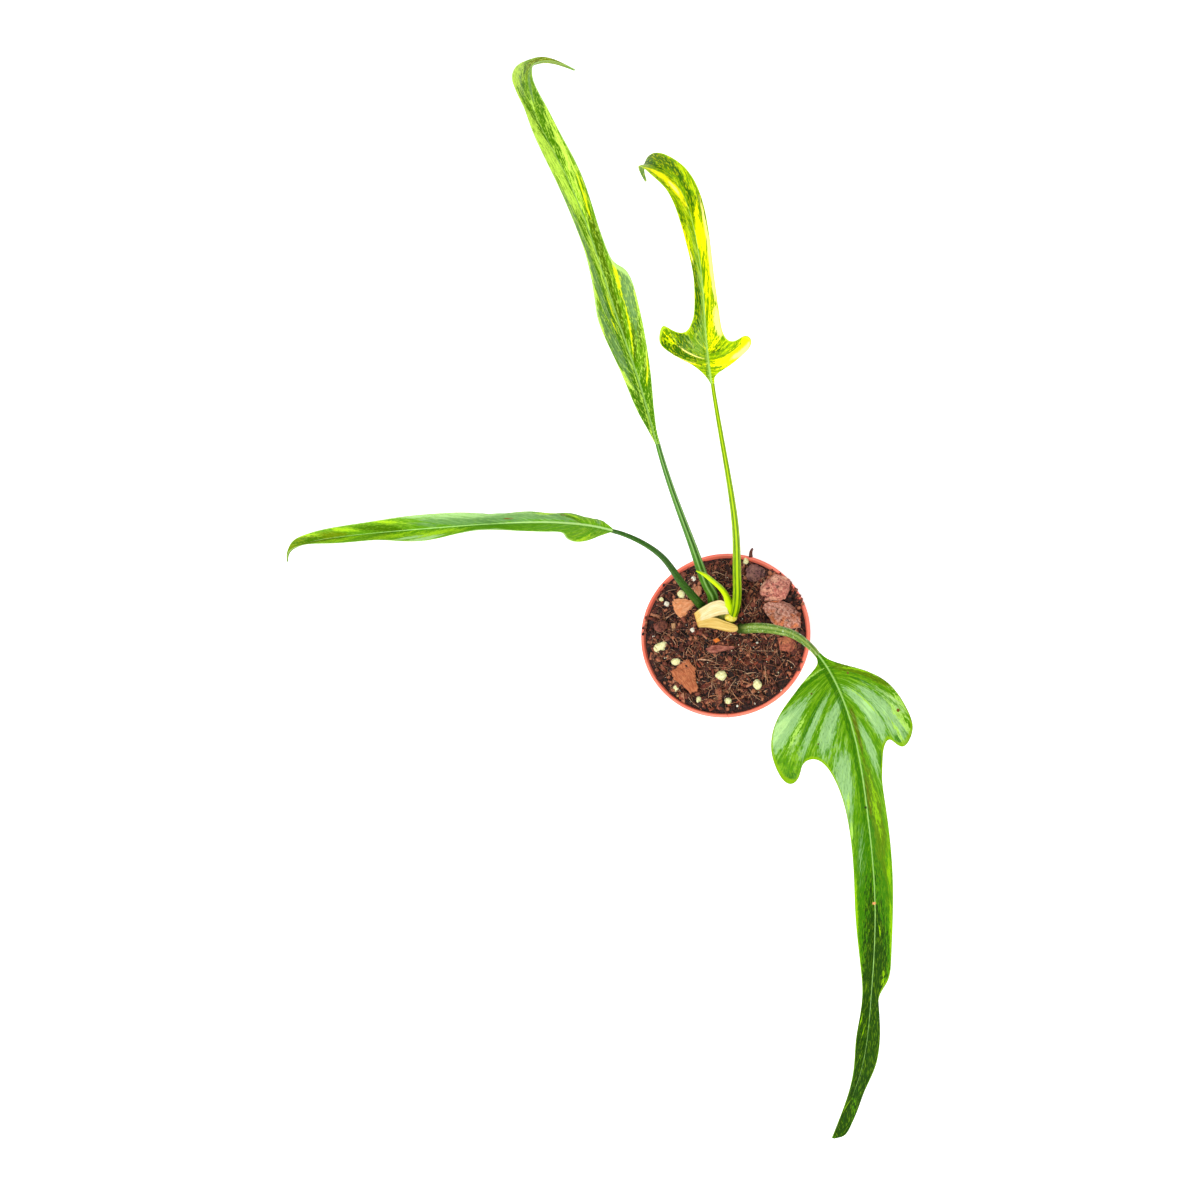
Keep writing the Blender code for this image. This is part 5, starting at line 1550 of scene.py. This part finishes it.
def slab_template():
    """Box of eight corners whose ends are narrower than its middle."""
    corners = np.array(list(product((-1, 1), repeat=3)), float)
    faces = [(0, 1, 3, 2), (4, 6, 7, 5), (0, 4, 5, 1), (2, 3, 7, 6), (0, 2, 6, 4), (1, 5, 7, 3)]
    return corners, np.array(faces)


def copied_faces(faces, count, corners):
    """Faces of one shape for each of its copies, whose points follow one another."""
    shift = (np.arange(count) * corners)[:, None, None]
    return (faces[None] + shift).reshape(-1, faces.shape[1])


def scatter(name, template, centres, sizes, yaw, pitch, dents, seed):
    """Copies of a template: each scaled by its three sizes, dented, turned and moved.

    The turn takes the template's first axis to the direction of yaw and pitch, its second
    sideways and its third up.
    """
    corners, faces = template
    count = len(centres)
    draw = np.random.default_rng(seed)
    forward = np.stack([np.cos(yaw) * np.cos(pitch), np.sin(yaw) * np.cos(pitch), np.sin(pitch)], axis=-1)
    lean = np.column_stack([draw.normal(0, 0.3, (count, 2)), np.ones(count)])
    side = unit(np.cross(lean, forward))
    turn = np.stack([forward, side, np.cross(forward, side)], axis=-1)
    local = corners[None] * sizes[:, None] * (1 + dents * draw.uniform(-1, 1, (count, len(corners), 3)))
    points = centres[:, None] + np.einsum("nij,nkj->nki", turn, local)
    piece = make_mesh(name, points.reshape(-1, 3), [copied_faces(faces, count, len(corners))])
    give(piece, "tone", np.repeat(draw.random(count), len(corners)))
    return piece


def scattered_spots(count, seed, reach):
    """Random places on the mix, evenly spread over the disc and clear of the large stones."""
    draw = np.random.default_rng(seed)
    radius = reach * np.sqrt(draw.random(count))
    angle = 2 * math.pi * draw.random(count)
    x, y = radius * np.cos(angle), radius * np.sin(angle)
    clear = np.ones(count, bool)
    for stone_x, stone_y, size in STONE_SPOTS:
        clear &= np.hypot(x - stone_x, y - stone_y) > size
    return x[clear], y[clear]


def loose_finish(name, tones, roughness=0.85):
    """One of several tones for each copy, a little uneven on each."""
    finish = Finish(name, roughness)
    grain = finish.noise(finish.place(), 0.7, 4.0)
    tone = finish.value("tone") + grain * 0.5
    colour = tones[0]
    for number, code in enumerate(tones[1:], start=1):
        level = number / len(tones)
        colour = finish.cover(colour, code, tone, level - 0.08, level + 0.08)
    return finish.set(base_color=colour).relief(grain, 0.4).material


print("a crumb has", len(ball_template()[1]), "faces, a flake has", len(slab_template()[1]))

# %% Crumbs and flakes
CRUMBS = 2600
FLAKES = 480
GRAINS = 150
CRUMB_REACH = 42.6
FLAKE_REACH = 41.0
NEAR_RIM = 41.0
# Mix spilt on the rim: where it lies (degrees), how far it spreads, how many crumbs
SPILLS = ((35, 8, 60), (22, 4, 22), (172, 5, 6), (139, 2, 3), (-26, 3, 8))


def make_crumbs():
    """Crumbs of all sizes, most of them small, and a few that were spilt on the rim."""
    draw = np.random.default_rng(21)
    x, y = scattered_spots(CRUMBS, 22, CRUMB_REACH)
    size = 0.45 + 1.25 * draw.random(len(x)) ** 2.2
    near_rim = np.hypot(x, y) > NEAR_RIM
    size = np.where(near_rim, 0.6 * size, size)
    sizes = size[:, None] * draw.uniform(0.55, 1.15, (len(x), 3))
    centres = np.column_stack([x, y, soil_height(x, y) + 0.25 * size - 0.6 * near_rim])
    spilt = np.concatenate([np.radians(draw.normal(turn, spread, count)) for turn, spread, count in SPILLS])
    reach = draw.uniform(NEAR_RIM, RIM_RADIUS - 0.6, len(spilt))
    on_rim = np.full(len(spilt), POT_HEIGHT + 0.1)
    rim = np.column_stack([reach * np.cos(spilt), reach * np.sin(spilt), on_rim])
    centres = np.concatenate([centres, rim])
    sizes = np.concatenate([sizes, draw.uniform(0.3, 1.3, (len(rim), 1)) * (1.0, 0.8, 0.7)])
    yaw, pitch = draw.random(len(centres)) * 2 * math.pi, draw.normal(0, 0.5, len(centres))
    crumbs = scatter("mix_crumbs", ball_template(), centres, sizes, yaw, pitch, 0.28, 23)
    tones = ("140604", "2c120c", "4c2018", "6c3424", "8c4a34", "341410", "b06c4c")
    settle(crumbs, loose_finish("mix_crumbs", tones), "potting_mix")


def make_flakes():
    """Flat shreds of bark, at most half as wide as they are long."""
    draw = np.random.default_rng(31)
    x, y = scattered_spots(FLAKES, 32, FLAKE_REACH)
    length = 0.7 + 2.4 * draw.random(len(x)) ** 2
    width = length * draw.uniform(0.12, 0.4, len(x))
    sizes = np.column_stack([length, width, draw.uniform(0.15, 0.4, len(x))])
    centres = np.column_stack([x, y, soil_height(x, y) + 0.55])
    yaw, pitch = draw.random(len(x)) * 2 * math.pi, draw.normal(0, 0.3, len(x))
    flakes = scatter("mix_flakes", slab_template(), centres, sizes, yaw, pitch, 0.25, 33)
    tones = ("30120c", "522014", "783420", "94442a", "401810", "a85c40", "c08060")
    settle(flakes, loose_finish("mix_flakes", tones), "potting_mix")


def make_grains():
    """Small perlite crumbs: a few placed where the picture shows them, the rest random."""
    draw = np.random.default_rng(41)
    shown = np.array(((-38, 0.5, 0.9), (17, -6, 0.8), (7.5, -6.5, 0.7), (28.5, -32, 0.8), (14.5, -38, 0.7),
                      (-15, -26, 0.8), (5.5, -39, 0.7)))
    x, y = scattered_spots(GRAINS, 42, FLAKE_REACH)
    size = 0.15 + 0.3 * draw.random(len(x)) ** 2
    x, y = np.concatenate([shown[:, 0], x]), np.concatenate([shown[:, 1], y])
    size = np.concatenate([shown[:, 2], size])
    centres = np.column_stack([x, y, soil_height(x, y) + 0.6])
    sizes = size[:, None] * draw.uniform(0.8, 1.2, (len(x), 3))
    yaw, pitch = draw.random(len(x)) * 2 * math.pi, draw.normal(0, 0.5, len(x))
    grains = scatter("perlite_crumbs", ball_template(), centres, sizes, yaw, pitch, 0.2, 43)
    settle(grains, loose_finish("perlite_crumbs", ("e9e3c8", "d8cfa8", "f4f0dc")), "perlite")


make_crumbs()
make_flakes()
make_grains()

# %% [markdown]
# ### Fibres
#
# Coir is the husk of a coconut, and its fibres lie everywhere in the mix. They could be curves
# with a thickness, but a thousand curve objects are slow. So each is one bowed thread in the
# same mesh: a quadratic curve between two ends and a handle, with three sides. The long ones
# that the picture shows are listed by their ends and how far they bow.

# %% Fibres
FIBRES = 1300
FIBRE_RINGS = 7
FIBRE_SIDES = 3
FIBRE_REACH = 39.0        # where short fibres start, at most this far from the middle
FIBRE_END = 41.5          # and end
RIM_START = 42.0          # how far out a fibre comes onto the rim
ON_RIM = 70.2             # and its height there
# Start x and y, end x and y, bow sideways, lift of the middle, radius
LONG_FIBRES = (
    (-32.5, 29.0, -23.5, 27.5, 1.5, 2.0, 0.32), (-15.5, -13.5, -3.0, -16.5, 2.0, 2.4, 0.4),
    (17.6, -11.0, 18.8, -28.5, 1.5, 2.2, 0.32), (2.5, -30.0, 9.0, -38.5, -1.6, 2.2, 0.34),
    (-4.0, -38.0, 1.2, -45.6, 0.8, 1.2, 0.2), (-2.0, 0.4, 10.5, 1.6, 1.6, 2.4, 0.14),
    (15.4, 41.6, 16.9, 46.2, 0.7, 2.0, 1.5), (-27.0, -29.5, -20.0, -33.0, 1.0, 0.8, 0.35),
    (20.5, -18.0, 31.0, -22.5, 2.0, 1.5, 0.18), (-10.0, -22.0, -3.5, -28.0, -1.5, 1.4, 0.18),
)


def fibre_table():
    """Ends, bow, lift and radius of every fibre: the long ones, then random short ones."""
    draw = np.random.default_rng(51)
    x, y = scattered_spots(FIBRES, 52, FIBRE_REACH)
    yaw = draw.random(len(x)) * 2 * math.pi
    length = 2 + 12 * draw.random(len(x)) ** 2.2
    ends = np.column_stack([x, y, x + length * np.cos(yaw), y + length * np.sin(yaw)])
    ends *= np.clip(FIBRE_END / np.hypot(ends[:, 2], ends[:, 3]), 0, 1)[:, None]
    shape = np.column_stack([draw.normal(0, 0.3, len(x)) * length, draw.uniform(0.4, 1.8, len(x)),
                             0.09 + 0.14 * draw.random(len(x)) ** 2 + 0.006 * length])
    table = np.concatenate([np.array(LONG_FIBRES), np.column_stack([ends, shape])])
    return table, draw.random(len(table))


def laid(spots):
    """Points on the mix, or on the rim where they reach it."""
    x, y = spots.T
    rim = np.where(np.hypot(x, y) > RIM_START, ON_RIM, 0)
    return np.column_stack([x, y, np.maximum(soil_height(x, y) + 0.7, rim)])


def make_fibres():
    """Bowed threads: a ring of three points carried along each quadratic curve."""
    table, tones = fibre_table()
    start, end = laid(table[:, :2]), laid(table[:, 2:4])
    across = unit(table[:, 2:4] - table[:, :2])[:, ::-1] * (-1, 1)
    handle = (start + end) / 2 + np.column_stack([across * table[:, 4:5], table[:, 5]])
    t = np.linspace(0, 1, FIBRE_RINGS)[None, :, None]
    centre = bowed(start[:, None], handle[:, None], end[:, None], t)
    ahead = unit(np.gradient(centre, axis=1))
    side = unit(np.cross(ahead, (0.1, 0.2, 1.0)))
    up = np.cross(side, ahead)
    angle = full_turn(FIBRE_SIDES)[:, None]
    radius = table[:, 6][:, None, None] * (1 - 0.6 * t)
    ring = side[:, :, None] * np.cos(angle) + up[:, :, None] * np.sin(angle)
    points = centre[:, :, None] + ring * radius[..., None]
    count = len(points)
    middles = np.stack([centre[:, 0], centre[:, -1]], axis=1)
    every = np.concatenate([points.reshape(count, -1, 3), middles], axis=1)
    corners, faces = closed_rings(points[0])
    face_sets = [copied_faces(part, count, len(corners)) for part in faces]
    fibres = make_mesh("coir_fibres", every.reshape(-1, 3), face_sets)
    give(fibres, "tone", np.repeat(tones, len(corners)))
    codes = ("602c1c", "844830", "ac6c48", "c88c64", "482016", "dcac88")
    settle(fibres, loose_finish("coir_fibres", codes, 0.7), "potting_mix")


make_fibres()

# %% [markdown]
# ## Stones and grains
#
# Lava is full of pores and breaks along flat faces, and perlite is a chalky popped glass. Their
# forms could be sculpted by hand, but eighteen of them ask for one rule. Each is a ball whose
# points move in and out by random fields of several sizes. A broken stone is also cut by planes,
# and its pores are the high spots of a finer field.

# %% Stones and perlite
# Centre x and y, half sizes, turn in degrees
STONES = {
    "lava_back": (28.5, 22.4, 7.8, 6.9, 4.8, 10), "lava_side": (31.2, 7.0, 9.8, 6.4, 4.6, -32),
    "lava_small": (32.6, -7.4, 4.2, 4.7, 2.9, 10), "bark_purple": (17.4, 32.8, 4.7, 4.4, 2.6, 0),
    "seed_husk": (-34.0, 5.9, 3.8, 2.8, 2.0, 30),
}
# The same for perlite_1 to perlite_13
PERLITE = (
    (-15.5, 31.5, 1.5, 1.4, 1.3, 0), (-22.5, 23.5, 2.2, 2.4, 1.9, 0), (-30.5, 18.5, 1.5, 1.4, 1.3, 0),
    (-33.4, 21.0, 1.3, 1.2, 1.1, 0), (-16.8, 3.0, 1.3, 1.3, 1.1, 0), (-34.5, -5.0, 3.8, 2.6, 1.9, 30),
    (-26.0, -13.6, 2.4, 1.9, 1.6, 0), (-2.2, -22.6, 3.0, 2.9, 2.1, 0), (16.5, -28.5, 2.1, 2.7, 1.8, 0),
    (-26.6, -28.4, 1.6, 1.6, 1.3, 0), (-14.7, -34.8, 1.3, 1.7, 1.2, 0), (0.8, -36.3, 1.7, 1.7, 1.3, 0),
    (13.0, 39.8, 1.5, 1.8, 1.5, 0),
)
# Dents: their size as a share of the stone, and how deep they are
LAVA_DENTS = ((0.9, 0.16), (0.4, 0.08), (0.18, 0.04))
PERLITE_DENTS = ((0.9, 0.2), (0.5, 0.14), (0.25, 0.05))
FACETS = 10                    # planes that cut a broken stone
FACET_REACH = (0.66, 0.95)     # how far the nearest and the farthest plane stand from the middle
PORE_SIZE = 1.1                # mm
PORE_DEPTH = 0.3               # as a share of the stone


def lump_rings(half, turn, dents, pores, seed, rings, sides):
    """Ball of a stone: latitude and longitude, moved out and in by the sum of its dents.

    A stone with pores is also cut by planes: along a direction the reach is at most the plane's
    distance over the cosine between that direction and the plane's normal.
    """
    ball = ball_grid(rings, sides)
    reach = 1 + sum(depth * rough(ball + seed, size, seed) for size, depth in dents)
    facing = unit(np.random.default_rng(seed).normal(size=(FACETS, 3)))
    cuts = np.linspace(*FACET_REACH, FACETS) / np.maximum(ball @ facing.T, 0.05)
    if pores:
        uneven = 1 + 0.05 * rough(ball + seed, 0.2, seed + 9)
        reach = np.minimum(reach * 1.15, 1.1 * cuts.min(axis=-1)) * uneven
    pits = np.clip(rough(ball * half + seed, PORE_SIZE, seed + 50) - 0.25, 0, 1)
    reach = reach - pores * pits
    cosine, sine = math.cos(math.radians(turn)), math.sin(math.radians(turn))
    matrix = np.array([(cosine, sine, 0), (-sine, cosine, 0), (0, 0, 1)])
    return (ball * reach[..., None] * half) @ matrix, pits


def middle_height(node):
    """Height half way up a solid's box, in millimetres."""
    low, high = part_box(node)
    return (low[2] + high[2]) / 2 / MM


# %% Finishes of stones and grains
def lava_finish(name, dark, light, glow):
    """Rough rock: two tones in grains, wide rusty patches, and pores darkened with painted shade."""
    finish = Finish(name, 0.92)
    grain = finish.noise(finish.place(), 1.2, 5.0)
    pores = 1 - finish.step(finish.cells(finish.place(), 0.9), 0.1, 0.4)
    colour = finish.cover(dark, light, grain, -0.15, 0.2)
    colour = finish.cover(colour, glow, finish.noise(finish.place(), 5.0, 4.0), -0.02, 0.16)
    # Painted shade: the pores and pits are darkened as if in shadow.
    colour = finish.cover(colour, "1f0f0e", pores + finish.value("pit") * 2, 0.5, 1.0, 0.75)
    return finish.set(base_color=colour).relief(grain - pores * 0.5, 0.8).material


def perlite_finish(name, shade, light):
    """Chalky white with a few brown stains."""
    finish = Finish(name, 0.85)
    grain = finish.noise(finish.place(), 0.9, 4.0)
    colour = finish.cover(shade, light, grain, -0.2, 0.15)
    colour = finish.cover(colour, "a8824c", finish.noise(finish.place(), 1.7, 3.0), 0.12, 0.24, 0.5)
    return finish.set(base_color=colour).relief(grain, 0.6).material


# %% The stones and grains
# Dark, light and rusty tone of each stone
LAVA_TINTS = {
    "lava_back": ("a8584c", "dc9480", "e4a88c"), "lava_side": ("b06c58", "e8b09c", "d87a4c"),
    "lava_small": ("964a36", "bc6a50", "c47450"), "bark_purple": ("5f3c3c", "94625c", "9c6c60"),
    "seed_husk": ("4a2018", "7c4430", "8c5040"),
}
# Shade and light of most grains, and of the whiter ones
PERLITE_TINTS = ("dcd488", "f0eebc")
WHITER_TINTS = ("d8d0b4", "f8f4e4")
WHITER = (1, 3, 5)
FIRST_SEED = 61


def make_lump(name, seed, place, dents, pores, finish, slot, *counts):
    """Rings of a stone or grain, at half the height of the solid that it replaces."""
    x, y, *half, turn = place
    points, pits = lump_rings(half, turn, dents, pores, seed, *counts)
    lump = make_mesh(name + "_rough", *closed_rings(points + (x, y, middle_height(name))))
    give(lump, "pit", pits.ravel())
    settle(lump, finish, slot, name)


for seed, (name, place) in enumerate(STONES.items(), start=FIRST_SEED):
    slot = "lava_rock" if name.startswith("lava") else "bark"
    finish = lava_finish(name + "_finish", *LAVA_TINTS[name])
    make_lump(name, seed, place, LAVA_DENTS, PORE_DEPTH, finish, slot, 70, 110)

for number, place in enumerate(PERLITE, start=1):
    name = f"perlite_{number}"
    finish = perlite_finish(name + "_finish", *(WHITER_TINTS if number in WHITER else PERLITE_TINTS))
    seed = FIRST_SEED + len(STONES) + number - 1
    make_lump(name, seed, place, PERLITE_DENTS, 0.0, finish, "perlite", 30, 48)

# %% [markdown]
# ## Bark chips
#
# Chips of bark are flat slabs with torn edges and a grain along them. They could be cut from a
# plate, but its straight walls would look sawn. So a chip is its outline, a few points round it,
# drawn in to the middle above and below, and random fields tear its edge and its faces.

# %% Chip finish
def bark_finish(name, dark, light, edge):
    """Torn bark: grain along the chip's first axis, and an edge of another tone."""
    finish = Finish(name, 0.85)
    skin = finish.value("chip", "Vector")
    fibres = finish.noise(finish.stretched(skin, (0.3, 1.6, 1.0)), 0.9, 4.0)
    colour = finish.cover(dark, light, fibres, -0.15, 0.18)
    colour = finish.cover(colour, edge, finish.value("rim") + fibres, 0.7, 0.95)
    return finish.set(base_color=colour).relief(fibres, 0.8).material


# %% The bark chips
# Name, centre x and y, half thickness, tilt about x and y (degrees), colours, outline
CHIPS = (
    ("chip_tan", -22.6, 14.8, 0.9, 6, -8, ("d88450", "f0a878", "8c5430"),
     ((-5, 4.8), (-4.5, 1.4), (-3, -2.5), (0, -5.6), (3, -2.5), (7.6, 2.6), (6, 5.3), (-2.5, 6.1))),
    ("chip_round", -13.4, 24.6, 0.8, 8, 4, ("a4603c", "c88864", "5c3a28"),
     ((-2.3, 0.8), (-1.7, -2.4), (0.4, -3.2), (2.2, -1.2), (2, 2), (0, 3.2))),
    ("chip_rust", -21, -21.6, 0.9, -5, 6, ("a4542f", "cc7c50", "6a3420"),
     ((-8.3, 3.6), (-6.7, -1.8), (-1.5, -5.6), (2.3, -10), (5.7, -10), (6.4, -7.6), (5.2, -1.8),
      (5.4, 3.4), (3.3, 5.5), (1.9, 8.3), (-2.4, 8), (-5.3, 4.6))),
    ("chip_long", -1.5, -7.8, 1.7, 3, 4, ("7c3c30", "bc7460", "5a2c20"),
     ((-8.6, 0.4), (-8.1, -1.9), (-5, -2.5), (2, -1.6), (6.6, -0.9), (6.8, 0.3), (0, 1.5), (-5, 2))),
    ("chip_orange", -4.2, -3.4, 0.7, 0, 0, ("d8641a", "f08a2c", "a04818"),
     ((-2.1, 0.3), (-0.6, -1.3), (2.1, -0.6), (0.8, 1.3))),
    ("chip_red", -3.4, -32.6, 0.7, 4, 0, ("8a4630", "b06a4c", "5a2a1c"),
     ((-1.3, 3.4), (-0.9, -3.7), (1, -3.2), (1.3, 3))),
    ("sliver_tan", -27.2, 5.4, 0.7, 0, 6, ("a87850", "c89c70", "6a4428"),
     ((-1.3, 2.2), (-0.9, -2.5), (1, -2), (1.2, 2.5))),
    ("straw", -23, -32, 0.6, 0, 0, ("a87c4c", "c8a06a", "6a4a2c"),
     ((-3.4, 0.3), (-3.2, -0.9), (3.4, -0.3), (3.2, 0.9))),
)
CHIP_RINGS = 14
CHIP_SIDES = 96
CHIP_CORE = 0.02          # share of the outline that is left at the middle of a face


def chip_rings(outline, half, slope, seed):
    """Slab from an outline: it is walked round, and drawn in to its middle below and above.

    With s as the share of the full width, the height is (1 - s to the sixth) to the power 0.35,
    which makes a flat face with a round edge.
    """
    corners = np.array(outline + outline[:1], float)
    lengths = walked(corners)
    walk = np.linspace(0, lengths[-1], CHIP_SIDES, endpoint=False)
    edge = np.column_stack([np.interp(walk, lengths, corners[:, k]) for k in (0, 1)])
    edge = edge * (1 + 0.1 * rough(np.column_stack([edge, 0 * walk]), 0.9, seed))[:, None]
    share = np.sin(np.linspace(CHIP_CORE, math.pi - CHIP_CORE, 2 * CHIP_RINGS))
    share[share > 0.999] = 1     # the two rings at the edge take its full width
    side = np.sign(np.linspace(-1, 1, 2 * CHIP_RINGS))
    height = side * half * (1 - share ** 6) ** 0.35
    flat = edge[None] * share[:, None, None]
    lean = flat[..., 1] * slope[0] + flat[..., 0] * slope[1]
    bumps = 0.3 * half * rough(np.concatenate([flat, 0 * lean[..., None]], axis=-1), 1.3, seed + 9)
    z = height[:, None] + lean + bumps
    points = np.concatenate([flat, z[..., None]], axis=-1)
    return points, np.broadcast_to(share[:, None], lean.shape)


def make_chips():
    """Each chip, at half the height of the solid that it replaces, with its grain the long way."""
    for seed, (name, x, y, half, tilt_x, tilt_y, codes, outline) in enumerate(CHIPS, start=91):
        points, share = chip_rings(outline, half, np.tan(np.radians((tilt_x, tilt_y))), seed)
        area = np.cross(outline, np.roll(outline, -1, axis=0)).sum()
        points = points if area > 0 else points[:, ::-1]
        chip = make_mesh(name + "_torn", *closed_rings(points + (x, y, middle_height(name))))
        grain = unit(outline[np.argmax(np.linalg.norm(outline, axis=1))])
        flat = points[..., :2].reshape(-1, 2)
        skin = np.column_stack([flat @ grain, flat @ (-grain[1], grain[0]), points[..., 2].ravel()])
        give(chip, "chip", skin)
        give(chip, "rim", (share ** 8).ravel())
        settle(chip, bark_finish(name + "_finish", *codes), "bark", name)


make_chips()
